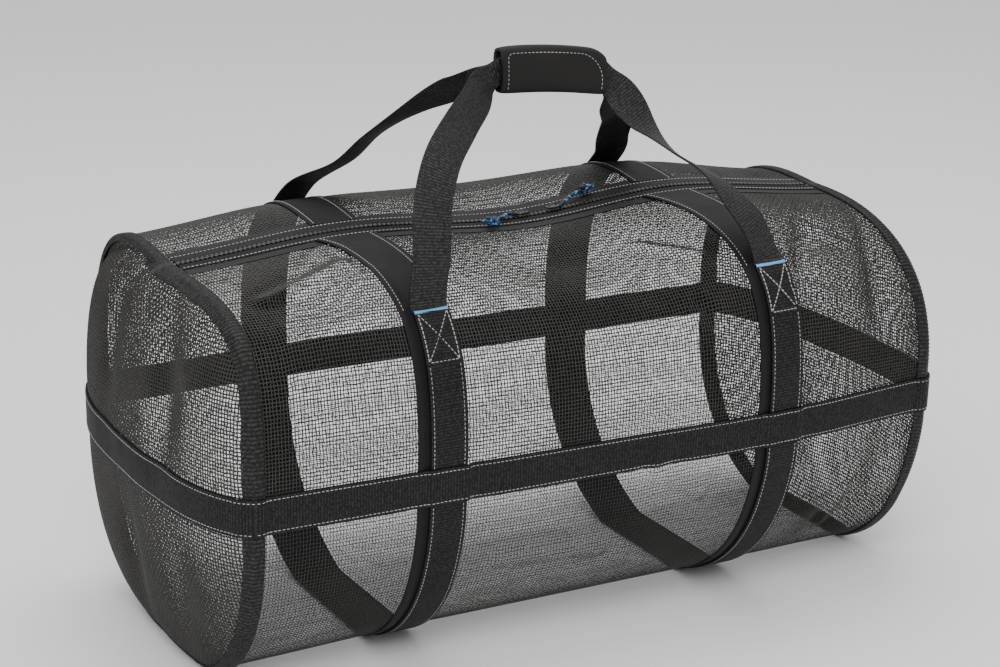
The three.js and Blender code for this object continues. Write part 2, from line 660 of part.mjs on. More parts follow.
// A handle is one ribbon of webbing from its left bar tack through the grip to its right one.
function handle(side) {
  const behind = side > 0;
  const tackRow = behind ? back(row.tack) : row.tack;
  const above = behind ? tackRow + 1 : tackRow - 1;
  const middle = strapLow + WEBBING / 2;
  const foot = (name) => {
    const [from, to] = [at(tackRow, column[name + "Left"], middle), at(tackRow, column[name + "Right"], middle)];
    const start = from.clone().lerp(to, 0.5);
    const across = to.sub(from).multiplyScalar(-side / 2);
    const upper = at(above, column[name + "Left"], middle).lerp(at(above, column[name + "Right"], middle), 0.5);
    const rise = upper.sub(start).normalize();
    const normal = rise.clone().cross(across).multiplyScalar(-1).normalize();
    const way = rise.clone().addScaledVector(normal, FOOT_LIFT).normalize();
    return { start: start.addScaledVector(rise, GAP), way, normal, across };
  };
  const left = foot("a");
  const right = foot("b");
  const offset = side * (WEBBING / 2 + GAP);
  const grip = GRIP_LINE.map(([share, droop]) => {
    const p = gripPoint(share * gripHalf, Math.abs(share) > 1 ? offset * GRIP_PART : offset);
    return p.add(V(0, 0, -droop));
  });
  const legPoints = (rows, tack, end) =>
    rows.map((r) =>
      V(lerp(tack.x, end.x, r.across), lerp(tack.y, end.y, r.forward), lerp(tack.z, end.z, r.up)),
    );
  const path = [
    left.start,
    left.start.clone().addScaledVector(left.way, FOOT_RISE),
    ...legPoints(behind ? LEGS.backLeft : LEGS.frontLeft, left.start, grip[0]),
    ...grip,
    ...legPoints(behind ? LEGS.backRight : LEGS.frontRight, right.start, grip[grip.length - 1]).reverse(),
    right.start.clone().addScaledVector(right.way, FOOT_RISE),
    right.start,
  ];
  const curve = new THREE.CatmullRomCurve3(path, false, "centripetal");
  const flat = V(0, side, 0);
  const shareAt = (x) => {
    let [before, after] = [0, 1];
    for (let i = 0; i < 30; i++) {
      const half = (before + after) / 2;
      if (curve.getPointAt(half).x < x) before = half;
      else after = half;
    }
    return before;
  };
  const legShares = { Left: shareAt(grip[0].x), Right: 1 - shareAt(grip[grip.length - 1].x) };
  const rows = range(0, HANDLE_STEPS).map((s) => {
    const share = s / HANDLE_STEPS;
    const p = curve.getPointAt(share);
    const way = curve.getTangentAt(share);
    const from = share < 0.5 ? left : right;
    const leg = share < 0.5 ? "Left" : "Right";
    const lean = LEANS[(behind ? "back" : "front") + leg];
    const done = Math.min(Math.min(share, 1 - share) / legShares[leg], 1);
    const hint = from.normal.clone().lerp(flat, done);
    const turned = Math.sin(Math.PI * done ** (Math.log(0.5) / Math.log(lean.peak))) ** 2;
    hint.lerp(V(...lean.way), lean.share * turned);
    if (s === 0 || s === HANDLE_STEPS) way.copy(from.way).multiplyScalar(s === 0 ? 1 : -1);
    const normal = hint.addScaledVector(way, -hint.dot(way)).normalize();
    const pinch = 1 - PINCH * bell(Math.abs(p.x - GRIP_ACROSS) / gripHalf - PINCH_AT, PINCH_SPAN);
    const across = way.clone().cross(normal).multiplyScalar((pinch * WEBBING_WIDTH) / 2);
    if (s === 0) across.copy(left.across);
    if (s === HANDLE_STEPS) across.copy(right.across).negate();
    return [-1, 1].map((k) => ({
      low: p.clone().addScaledVector(across, k).addScaledVector(normal, -WEBBING / 2),
      high: p.clone().addScaledVector(across, k).addScaledVector(normal, WEBBING / 2),
    }));
  });
  return slab(rows, { flip: true });
}

// The padded grip: a rounded sleeve round both ribbons, with a slot right through.
function grip() {
  const slotHeight = WEBBING_WIDTH / 2 + GRIP_EDGE_CLEARANCE;
  const slotDepth = WEBBING + GAP + GRIP_SLOT_CLEARANCE;
  const rounded = (half, deep, power, angle) => ({
    y: deep * Math.sign(Math.cos(angle)) * Math.abs(Math.cos(angle)) ** (2 / power),
    z: half * Math.sign(Math.sin(angle)) * Math.abs(Math.sin(angle)) ** (2 / power),
  });
  const rows = range(0, GRIP_STEPS).map((s) => {
    const share = lerp(-1, 1, s / GRIP_STEPS);
    const swell = 1 - GRIP_TAPER * share ** 6;
    const cut = 1 - GRIP_CORNER * (Math.max(share - GRIP_CORNER_FROM, 0) / (1 - GRIP_CORNER_FROM)) ** 2;
    const slotCut = Math.min(1, ((GRIP_HEIGHT / 2) * swell * cut - GRIP_WALL) / slotHeight);
    const middle = gripPoint(share * gripHalf, 0);
    return range(0, GRIP_SIDES - 1).map((k) => {
      const angle = (2 * Math.PI * (k + 0.5)) / GRIP_SIDES;
      const out = rounded((GRIP_HEIGHT / 2) * swell, (GRIP_DEPTH / 2) * swell, 3.2, angle);
      const slot = rounded(slotHeight, slotDepth, 8, angle);
      if (angle < Math.PI) {
        out.z *= cut;
        slot.z *= slotCut;
      }
      return { high: middle.clone().add(V(0, out.y, out.z)), low: middle.clone().add(V(0, slot.y, slot.z)) };
    });
  });
  const turned = range(0, GRIP_SIDES - 1).map((k) => rows.map((line) => line[k]));
  return slab(turned, { closed: true });
}

// The pieces, with the finish of each material.
const FINISH = {
  mesh: { color: 0x26241f, roughness: 0.6, metalness: 0 },
  webbing: { color: 0x1b1b1b, roughness: 0.55, metalness: 0 },
  fabric: { color: 0x202020, roughness: 0.7, metalness: 0 },
  padding: { color: 0x1e1c1a, roughness: 0.8, metalness: 0 },
  teeth: { color: 0x141414, roughness: 0.4, metalness: 0 },
  metal: { color: 0x2a2a2c, roughness: 0.35, metalness: 0.8 },
  cord: { color: 0x16324a, roughness: 0.7, metalness: 0 },
};
const bag = new THREE.Group();
function piece(name, geometry, finish) {
  const mesh = new THREE.Mesh(geometry, new THREE.MeshStandardMaterial(FINISH[finish]));
  mesh.name = name;
  bag.add(mesh);
  return mesh;
}

piece("upper_front_mesh", upperFront(), "mesh");
piece("upper_back_mesh", upperBack(), "mesh");
piece("lower_mesh", lowerBody(), "mesh");
piece("end_panel_left", endPanel(ends[0]), "mesh");
piece("end_panel_right", endPanel(ends[1]), "mesh");
piece("end_binding_left", binding(-1), "fabric");
piece("end_binding_right", binding(1), "fabric");
piece("girth_band", girthBand(), "webbing");
piece("strip_left", strip("a"), "fabric");
piece("strip_right", strip("b"), "fabric");
piece("strap_left", strap("a"), "webbing");
piece("strap_right", strap("b"), "webbing");
piece("zipper_tape_front", tape(false), "fabric");
piece("zipper_tape_back", tape(true), "fabric");
piece("zipper_chain", chain(), "teeth");
for (const [side, name] of [
  [-1, "left"],
  [1, "right"],
]) {
  const mesh = piece("zipper_slider_" + name, slider(), "metal");
  const x = sliderX(side);
  mesh.position.copy(slitMiddle(placeOf(x))).add(V(0, 0, sliderSeat));
  mesh.rotation.set(0, -slope(x), side < 0 ? Math.PI : 0);
  piece("pull_cord_" + name, pullCord(side), "cord");
  piece("pull_knot_" + name, pullKnot(side), "cord");
}
piece("handle_front", handle(-1), "webbing");
piece("handle_back", handle(1), "webbing");
piece("grip_wrap", grip(), "padding");

// The origin is the bottom centre of the whole bag.
const extent = new THREE.Box3().setFromObject(bag);
const middle = extent.getCenter(V(0, 0, 0));
bag.position.set(-middle.x, -middle.y, -extent.min.z);

export default bag;
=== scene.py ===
import math

import bpy
import numpy as np
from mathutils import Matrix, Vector


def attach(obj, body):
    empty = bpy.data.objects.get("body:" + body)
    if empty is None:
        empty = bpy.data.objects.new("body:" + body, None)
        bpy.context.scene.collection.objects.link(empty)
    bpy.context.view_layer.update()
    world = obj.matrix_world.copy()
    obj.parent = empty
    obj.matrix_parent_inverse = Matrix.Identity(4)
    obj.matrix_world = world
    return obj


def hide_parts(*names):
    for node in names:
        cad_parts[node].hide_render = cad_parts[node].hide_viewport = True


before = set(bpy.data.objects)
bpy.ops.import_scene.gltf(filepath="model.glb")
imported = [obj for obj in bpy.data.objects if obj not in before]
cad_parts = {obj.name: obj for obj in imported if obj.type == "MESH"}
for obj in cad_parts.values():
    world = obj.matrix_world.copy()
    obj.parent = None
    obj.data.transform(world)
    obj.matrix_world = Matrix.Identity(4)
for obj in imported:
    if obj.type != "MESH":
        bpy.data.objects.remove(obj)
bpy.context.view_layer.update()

# Lengths are millimetres up to the mesh maker, which turns them into metres. The body's numbers and
# tables are those of the CAD model.
ORIGIN_SHIFT = np.array([3.965, 6.202, 0.0])
BODY_LENGTH = 760
FRONT_DEPTH = 221
BACK_DEPTH = 221
BODY_HEIGHT = 404
FRONT_WAIST = 232
BACK_WAIST = 188
BOTTOM_SINK = 12
LEFT_BULGE = 47
RIGHT_BULGE = 39
SEAM = 0.3
GAP = 0.4
STRIP = 1
WEBBING = 2
WEBBING_WIDTH = 38
STRIP_LEFT_MARGIN = 13
STRIP_RIGHT_MARGIN = 1.5
STRIP_FLARE = 14
STRIP_FLARE_POWER = 5
STRAPS = {"left": -185.0, "right": 190.0}
BAND_HEIGHT = 205
TACK_HEIGHT = 365
BINDING_WIDTH = 12
SLIT = 10
TAPE_WIDTH = 17
BINDING = 2.5
TAPE = 1
CHAIN_HEIGHT = 3.2
SLIDER_LENGTH = 15
SLIDER_WIDTH = 11
SLIDER_HEIGHT = 4.5
SLIDER_GAP = 22
SLIDERS_AT = 30
SLIDER_SEAT = 2.2
PULL_CORD = 4
PULL_KNOT = 13
GRIP_LENGTH = 118
GRIP_HALF = GRIP_LENGTH / 2
GRIP_HEIGHT = 47
GRIP_DEPTH = 23
GRIP_ACROSS = 8
GRIP_FORWARD = 66
GRIP_UP = 561
GRIP_ARCH = 3
GRIP_SLOPE = -0.1
GRIP_TAPER = 0.05
GRIP_CORNER_FROM = 0.75
GRIP_CORNER = 0.2
GRIP_WALL = 2.5
PINCH = 0.36
PINCH_AT = 1.08
PINCH_SPAN = 0.22
# How far the handles droop in and beside the wrap, at shares of its half length
GRIP_LINE = [(-1.25, 8), (-1, 2), (-0.85, 0.6), (-0.4, 0), (0, 0), (0.4, 0), (0.85, 0.9), (1, 3), (1.25, 13)]
GRIP_PART = 2
FOOT_RISE = 9
FOOT_LIFT = 0.08
FLOOR = 2 * GAP + STRIP + WEBBING
STRAP_LOW = 2 * GAP + STRIP
HALF = BODY_LENGTH / 2

NET_PITCH_ALONG = 3.34
NET_PITCH_ROUND = 3.71
NET_ROWS = {"upper_front": 89, "lower": 160, "upper_back": 89}
NET_FROM_SLIT = 4
NET_UNDER_BAND = 3
NET_JITTER = 0.25
END_REACH = 215
WEAVE_DEPTH = 0.75
# Widths of the strands, by how much light each panel lets through
STRANDS = {"upper_front": 1.03, "upper_back": 1.05, "lower": 0.62, "left": 1.55, "right": 1.5}
STRAND_WAVE = 0.34
STRAND_HEIGHT = 0.42
STRAND_UNEVEN = 0.07
STITCH_PITCH = 4.3
EDGE_STITCH = 16
BOX_TALL = 44
BOX_BOTTOM = TACK_HEIGHT - BOX_TALL + 2
HEM_WIDTH = 7
# Width of the turned cloth beside each zipper tape
HEMS = {"front": 15, "back": 9}
TOOTH_PITCH = 5.0
RIB_PITCH = 3.0
RIB_DEPTH = 0.24
BINDING_RIB = 4.2
# How many times lighter than the cloth's light colour the painted highlight on rib crests is drawn
PAINTED_CREST_HIGHLIGHT = 6
STRIP_ROLL = 0.8
HEM_STEP = 0.6
TAPE_STITCH = 0.8
# The slider's body: heights above its seat, and the share of the outline at each
SLIDER_PROFILE = [(0, 0.02), (0, 0.9), (0.5, 1), (1.3, 1), (1.6, 0.84)]
SLIDER_PROFILE += [(2.7, 0.84), (3, 1), (4, 1), (4.5, 0.88), (4.5, 0.02)]

# The body's section at even steps along it: shares of its depth and height, and the powers of its curves
SECTIONS = {
    "front": [0.97, 1.0, 1.02, 1.04, 0.95],
    "back": [0.96, 0.99, 0.98, 0.96, 0.95],
    "top": [0.965, 1.0, 0.972, 1.004, 0.958],
    "up_front": [4.2, 3.2, 2.9, 3.3, 2.5],
    "up_back": [3.5, 3.3, 3.3, 3.1, 2.8],
    "low": [2.4, 2.2, 2.15, 2.15, 2.3],
    "lift": [0.062, 0.085, 0.1, 0.09, 0.05],
}
# Broad dents and swellings: side, along, angle, span along, span of the angle, depth
DENTS = [
    (-1, -0.02, 64, 0.24, 11, -0.024),
    (-1, -0.78, 57, 0.12, 9, -0.02),
    (-1, -0.74, 40, 0.14, 9, 0.012),
    (-1, 0.74, 52, 0.1, 8, -0.022),
    (-1, 0.76, 26, 0.12, 12, 0.012),
    (-1, 0.05, 26, 0.3, 18, 0.014),
    (-1, 0.0, -38, 0.32, 16, 0.012),
    (-1, 0.78, -44, 0.1, 12, -0.02),
    (1, 0.0, 58, 0.26, 14, 0.012),
    (1, -0.76, 20, 0.12, 16, -0.014),
    (1, 0.05, 18, 0.22, 16, -0.012),
    (1, 0.76, 36, 0.12, 14, 0.01),
]
# Narrow folds of the cloth: side, x and angle at both ends, half width, height
FOLDS = [
    (-1, -236, 76, -330, 67, 9, 4.5),
    (-1, 78, 66, 123, 53, 7, 3.5),
    (-1, 219, 31, 303, 20, 7, 4),
    (-1, 273, 64, 336, 44, 6, 5),
    (-1, 42, -11, 99, -19, 7, 4),
    (-1, 363, -34, 357, -16, 7, 4),
    (-1, 99, 32, 126, 9, 8, -3),
    (-1, 294, -46, 294, -22, 8, 3),
    (-1, -120, -29, -6, -31, 8, 3),
]
# Millimetres of cloth to a radian, where the folds are measured
FOLD_REACH = 200
# The groove beside a fold: its share of the fold's height, and its distance in half widths
GROOVE = 0.4
GROOVE_AT = 2
BAND_CINCH = 3
CINCH_SPAN = 24
STRAP_CINCH = 3
STRAP_CINCH_SPAN = 34
# Creases of the end panels: across, up, span across, span up, depth
END_CREASES = [
    (0.3, 0.5, 0.07, 0.34, -0.24),
    (0.66, 0.55, 0.06, 0.3, -0.2),
    (0.55, -0.5, 0.08, 0.3, -0.22),
    (0.2, -0.55, 0.07, 0.25, -0.16),
]
# Middle line of each leg, as shares of the way from its tack to the wrap in x, y and z
LEGS = {
    "front_left": [
        (0.032, 0.038, 0.293), (0.108, 0.168, 0.526), (0.284, 0.358, 0.706),
        (0.561, 0.6, 0.833), (0.805, 0.817, 0.917),
    ],
    "front_right": [
        (0.121, 0.117, 0.245), (0.25, 0.26, 0.387), (0.38, 0.419, 0.511),
        (0.619, 0.657, 0.635), (0.795, 0.848, 0.788),
    ],
    "back_left": [
        (0.09, 0.14, 0.23), (0.302, 0.38, 0.426), (0.445, 0.505, 0.597),
        (0.696, 0.715, 0.808), (0.881, 0.861, 0.928),
    ],
    "back_right": [
        (-0.01, 0.17, 0.24), (0.241, 0.4, 0.439),
        (0.435, 0.595, 0.646), (0.813, 0.856, 0.846),
    ],
}
# How each leg turns on its way: where it faces, how much, and at which share of the leg
LEANS = {
    "front_left": ((-0.2, 0, 0.5), 0.15, 0.5),
    "front_right": ((0.57, 0, 0.81), 0.85, 0.6),
    "back_left": ((-0.45, 0, 0.8), 0.5, 0.5),
    "back_right": ((0.3, 0, 0.6), 0.2, 0.5),
}
# Route of each pull cord from its slider
PULL_ROUTES = {
    "left": [(0, 0, 0), (-6, -2, 2.4), (-13, -7, 3.4), (-20, -12, 3), (-27, -17, 3), (-34, -22, 3.4)],
    "right": [(0, 0, 0), (6, 2, 3.4), (13, 6, 6), (20, 10, 7.4), (27, 13, 8.4), (34, 16, 9.4)],
}


# Camera, at the photograph's angle

CAMERA_AT = np.array([-1132.9, -2105.4, 997.8])
CAMERA_AZIMUTH = 27.99
CAMERA_DIP = 16.94
CAMERA_LENS = 85.79


def make_camera():
    data = bpy.data.cameras.new("camera")
    data.lens = CAMERA_LENS
    data.sensor_width = 36
    data.clip_end = 30
    camera = bpy.data.objects.new("camera", data)
    bpy.context.scene.collection.objects.link(camera)
    az, dip = math.radians(CAMERA_AZIMUTH), math.radians(CAMERA_DIP)
    forward = Vector((math.sin(az) * math.cos(dip), math.cos(az) * math.cos(dip), -math.sin(dip)))
    camera.location = (CAMERA_AT + ORIGIN_SHIFT) / 1000
    camera.rotation_euler = forward.to_track_quat("-Z", "Y").to_euler()
    bpy.context.scene.camera = camera


make_camera()


# Materials


class Nodes:
    """Small helper for a node tree round a principled shader."""

    def __init__(self, name, roughness, specular=0.5):
        self.material = bpy.data.materials.new(name)
        self.material.use_nodes = True
        self.tree = self.material.node_tree
        self.shader = self.tree.nodes["Principled BSDF"]
        self.shader.inputs["Roughness"].default_value = roughness
        self.shader.inputs["Specular IOR Level"].default_value = specular

    def add(self, kind, inputs=(), **settings):
        node = self.tree.nodes.new(kind)
        for key, value in settings.items():
            setattr(node, key, value)
        for key, value in dict(inputs).items():
            if isinstance(value, bpy.types.NodeSocket):
                self.tree.links.new(value, node.inputs[key])
            else:
                node.inputs[key].default_value = value
        return node

    def object_coordinates(self):
        return self.add("ShaderNodeTexCoord").outputs["Object"]

    def noise(self, scale, detail=3, roughness=0.5):
        inputs = {"Scale": scale, "Detail": detail, "Roughness": roughness}
        inputs["Vector"] = self.object_coordinates()
        return self.add("ShaderNodeTexNoise", inputs).outputs["Fac"]

    def times(self, first, second):
        return self.add("ShaderNodeMath", {0: first, 1: second}, operation="MULTIPLY").outputs[0]

    def mix(self, factor, low, high):
        node = self.add("ShaderNodeMix", data_type="RGBA")
        self.tree.links.new(factor, node.inputs["Factor"])
        for key, value in (("A", low), ("B", high)):
            socket = [s for s in node.inputs if s.name == key and s.type == "RGBA"][0]
            if isinstance(value, bpy.types.NodeSocket):
                self.tree.links.new(value, socket)
            else:
                socket.default_value = (*value, 1)
        return [s for s in node.outputs if s.type == "RGBA"][0]

    def ramp(self, factor, low, high):
        inputs = {"Value": factor, "From Min": low[0], "From Max": high[0]}
        inputs.update({"To Min": low[1], "To Max": high[1]})
        return self.add("ShaderNodeMapRange", inputs).outputs["Result"]

    def colour(self, socket):
        self.tree.links.new(socket, self.shader.inputs["Base Color"])

    def rough(self, socket):
        self.tree.links.new(socket, self.shader.inputs["Roughness"])

    def bump(self, height, strength, distance):
        inputs = {"Height": height, "Strength": strength, "Distance": distance}
        node = self.add("ShaderNodeBump", inputs)
        self.tree.links.new(node.outputs["Normal"], self.shader.inputs["Normal"])


def cloth_material(name, dark, light, roughness, weave, strength, specular=0.25, ribbed=False):
    """A woven cloth: slow and fine changes of colour, a painted highlight on the rib crests of ribbed cloth,
    and a fine weave in the bump.
    """
    n = Nodes(name, roughness, specular)
    slow = n.noise(22, 3)
    fine = n.noise(900, 2, 0.7)
    colour = n.mix(n.ramp(n.times(slow, fine), (0.12, 0), (0.42, 1)), dark, light)
    # Painted highlight: the rib crests of ribbed cloth are drawn lighter, broken up by a fine speckle.
    if ribbed:
        ridge = n.add("ShaderNodeAttribute", attribute_name="ridge").outputs["Fac"]
        highlight_speckle = n.ramp(n.noise(430, 1, 0.6), (0.38, 0.1), (0.62, 1))
        colour = n.mix(n.times(ridge, highlight_speckle), colour, tuple(PAINTED_CREST_HIGHLIGHT * c for c in light))
    n.colour(colour)
    n.rough(n.ramp(slow, (0.3, roughness - 0.06), (0.7, roughness + 0.08)))
    n.bump(n.noise(weave, 1), strength, 0.0004)
    return n.material


NET = cloth_material("net", (0.013, 0.0125, 0.0112), (0.041, 0.0392, 0.0335), 0.45, 1500, 0.15, specular=0.36)
WEB = cloth_material(
    "webbing", (0.002, 0.002, 0.002), (0.0055, 0.0055, 0.0054), 0.6, 1300, 0.4, specular=0.18, ribbed=True
)
HANDLE_WEB = cloth_material(
    "handle_webbing", (0.003, 0.003, 0.003), (0.0085, 0.0085, 0.0083), 0.6, 1300, 0.4, ribbed=True
)
FABRIC = cloth_material("fabric", (0.0025, 0.0025, 0.0025), (0.007, 0.007, 0.0068), 0.66, 1700, 0.4)
# The hem's black cloth is drawn lighter than the other fabric: its own black with a painted sheen.
HEM_PAINTED_SHEEN = cloth_material("hem", (0.007, 0.007, 0.0067), (0.016, 0.016, 0.0153), 0.6, 1700, 0.3)
TRIM = cloth_material(
    "binding", (0.0016, 0.0016, 0.0015), (0.0075, 0.0075, 0.0072), 0.55, 1300, 0.4, specular=0.2, ribbed=True
)
PAD = cloth_material("padding", (0.008, 0.0074, 0.0069), (0.0165, 0.0152, 0.0143), 0.72, 2200, 0.3)
THREAD = cloth_material("white_thread", (0.3, 0.3, 0.295), (0.52, 0.52, 0.51), 0.6, 3000, 0.3)
TACK = cloth_material("blue_thread", (0.1, 0.33, 0.62), (0.22, 0.52, 0.85), 0.4, 3000, 0.4)
TEETH = cloth_material("teeth", (0.004, 0.004, 0.004), (0.01, 0.01, 0.01), 0.3, 900, 0.1, specular=0.6)
METAL = cloth_material("slider_paint", (0.01, 0.01, 0.011), (0.03, 0.03, 0.032), 0.3, 900, 0.1, specular=0.6)


def cord_material():
    """A braided cord: dark blue-black with bright blue flecks."""
    n = Nodes("cord", 0.55)
    point = n.object_coordinates()
    fleck = n.add("ShaderNodeTexVoronoi", {"Vector": point, "Scale": 420}).outputs["Color"]
    value = n.add("ShaderNodeSeparateColor", {"Color": fleck}).outputs["Red"]
    blue = n.ramp(value, (0.7, 0), (0.76, 1))
    n.colour(n.mix(blue, (0.008, 0.012, 0.022), (0.05, 0.3, 0.75)))
    n.bump(n.noise(1400, 1), 0.5, 0.0005)
    return n.material


CORD = cord_material()


# Mesh making


def make(name, vertices, faces, material, replaces=(), slot=None, smooth=True, uv=None, ridge=None):
    """A piece from vertices in millimetres and faces, riding on the bag's one body."""
    data = bpy.data.meshes.new(name)
    vertices = (np.asarray(vertices, float) + ORIGIN_SHIFT) / 1000
    faces = np.asarray(faces, np.int64)
    data.vertices.add(len(vertices))
    data.vertices.foreach_set("co", vertices.ravel())
    size = faces.shape[1]
    data.loops.add(faces.size)
    data.loops.foreach_set("vertex_index", faces.ravel())
    data.polygons.add(len(faces))
    data.polygons.foreach_set("loop_start", np.arange(0, faces.size, size))
    data.polygons.foreach_set("use_smooth", np.full(len(faces), smooth))
    data.update(calc_edges=True)
    data.validate()
    if uv is not None:
        layer = data.uv_layers.new(name="OFBake")
        layer.data.foreach_set("uv", uv[faces.ravel()].ravel())
    # The ridge attribute is the mask of the painted highlight on rib crests.
    if ridge is not None:
        data.attributes.new("ridge", "FLOAT", "POINT").data.foreach_set("value", ridge)
    data.materials.append(material)
    piece = bpy.data.objects.new(name, data)
    bpy.context.scene.collection.objects.link(piece)
    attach(piece, "root")
    if replaces:
        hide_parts(*replaces)
    return piece


class Parts:
    """Collects patches of quads into one piece."""

    def __init__(self):
        self.vertices = []
        self.faces = []
        self.crest_highlights = []
        self.count = 0

    def add(self, vertices, faces, ridge=None):
        vertices = np.asarray(vertices, float).reshape(-1, 3)
        self.vertices.append(vertices)
        self.crest_highlights.append(np.zeros(len(vertices)) if ridge is None else np.ravel(ridge))
        self.faces.append(np.asarray(faces, np.int64) + self.count)
        self.count += len(vertices)

    def grid(self, points, flip=False, closed=False, ridge=None):
        rows, columns = points.shape[:2]
        index = np.arange(rows * columns).reshape(rows, columns)
        if closed:
            index = np.vstack([index, index[:1]])
        a, b, c, d = index[:-1, :-1], index[1:, :-1], index[1:, 1:], index[:-1, 1:]
        quads = np.stack([a, b, c, d], -1).reshape(-1, 4)
        self.add(points, quads[:, ::-1] if flip else quads, ridge)

    def slab(self, low, high, closed=False, ridge=None):
        """A sheet between two grids, its four faces and edges not joined, so that they shade crisply."""
        self.grid(high, closed=closed, ridge=ridge)
        self.grid(low, flip=True, closed=closed, ridge=ridge)
        for i, flip in ((0, False), (-1, True)):
            side = np.stack([low[:, i], high[:, i]], 1)
            self.grid(side, flip=flip, closed=closed)
        if not closed:
            for j, flip in ((0, True), (-1, False)):
                end = np.stack([low[j], high[j]], 1)
                self.grid(end, flip=flip)

    def make(self, name, material, **options):
        ridge = np.concatenate(self.crest_highlights)
        return make(name, np.vstack(self.vertices), np.vstack(self.faces), material, ridge=ridge, **options)


def unit(v):
    return v / np.maximum(np.linalg.norm(v, axis=-1, keepdims=True), 1e-9)


def normals(points, closed=False):
    if closed:
        down = np.roll(points, -1, 0) - np.roll(points, 1, 0)
    else:
        down = np.gradient(points, axis=0)
    return unit(np.cross(down, np.gradient(points, axis=1)))


def along(line, values, s):
    """Values at distances along a line."""
    steps = np.linalg.norm(np.diff(line, axis=0), axis=1)
    arc = np.concatenate([[0], np.cumsum(steps)])
    return np.stack([np.interp(s, arc, column) for column in values.T], 1)


def line_length(line):
    return float(np.linalg.norm(np.diff(line, axis=0), axis=1).sum())


# The body's shape


def section_value(name, along):
    values = np.array(SECTIONS[name], float)
    step = 2 / (len(values) - 1)
    place = np.clip((along + 1) / step, 0, len(values) - 1.000001)
    i = np.floor(place).astype(int)
    t = place - i
    a, b, c, d = (values[np.clip(i + k, 0, len(values) - 1)] for k in (-1, 0, 1, 2))
    return 0.5 * (2 * b + (c - a) * t + (2 * a - 5 * b + 4 * c - d) * t**2 + (3 * b - a - 3 * c + d) * t**3)


def section_at(x, side):
    along = 2 * x / BODY_LENGTH
    waist = FRONT_WAIST if side < 0 else BACK_WAIST
    depth = FRONT_DEPTH if side < 0 else BACK_DEPTH
    return {
        "along": along,
        "waist": waist,
        "depth": depth * section_value("front" if side < 0 else "back", along),
        "rise": BODY_HEIGHT * section_value("top", along) - waist,
        "drop": waist - FLOOR + BOTTOM_SINK,
        "high": section_value("up_front" if side < 0 else "up_back", along),
        "low": section_value("low", along),
        "lift": 0 if side < 0 else BODY_HEIGHT * section_value("lift", along),
    }


def angle_at_height(x, side, z):
    s = section_at(x, side)
    if z >= s["waist"]:
        return np.arcsin(np.clip((z - s["waist"]) / s["rise"], 0, 1) ** (s["high"] / 2))
    return -np.arcsin(np.clip((s["waist"] - z) / s["drop"], 0, 1) ** (s["low"] / 2))


def angle_at_depth(x, side, y):
    s = section_at(x, side)
    return np.arccos((y / s["depth"]) ** (s["high"] / 2))


def body_point(x, side, angle):
    s = section_at(x, side)
    upper = angle >= 0
    power = 2 / np.where(upper, s["high"], s["low"])
    out = np.abs(np.cos(angle)) ** power
    up = np.abs(np.sin(angle)) ** power
    y = side * s["depth"] * out
    z = s["waist"] + np.where(upper, s["rise"], -s["drop"]) * up
    z = z + np.where(upper, s["lift"] * np.sin(angle) ** 2 * out, 0)
    push = 0.0
    for d_side, along, at, span, span_angle, depth in DENTS:
        if d_side == side:
            gap = ((s["along"] - along) / span) ** 2 + ((np.degrees(angle) - at) / span_angle) ** 2
            push = push + BODY_HEIGHT * depth * np.exp(-gap)
    for f_side, x0, a0, x1, a1, wide, high in FOLDS:
        if f_side == side:
            dx, da = x1 - x0, np.radians(a1 - a0) * FOLD_REACH
            px, pa = x - x0, (angle - np.radians(a0)) * FOLD_REACH
            t = np.clip((px * dx + pa * da) / (dx * dx + da * da), 0, 1)
            gap = np.hypot(px - t * dx, pa - t * da)
            groove = GROOVE * np.exp(-((gap / wide - GROOVE_AT) ** 2))
            push = push + high * (np.exp(-((gap / wide) ** 2)) - groove)
    push = push - BAND_CINCH * np.exp(-(((z - BAND_HEIGHT) / CINCH_SPAN) ** 2)) * out
    for at in STRAPS.values():
        push = push - STRAP_CINCH * np.exp(-(((x - at) / STRAP_CINCH_SPAN) ** 2)) * out
    reach = np.hypot(y, z - s["waist"])
    y = y + push * y / reach
    z = z + push * (z - s["waist"]) / reach
    return np.stack(np.broadcast_arrays(x, y, np.maximum(z, FLOOR)), -1)


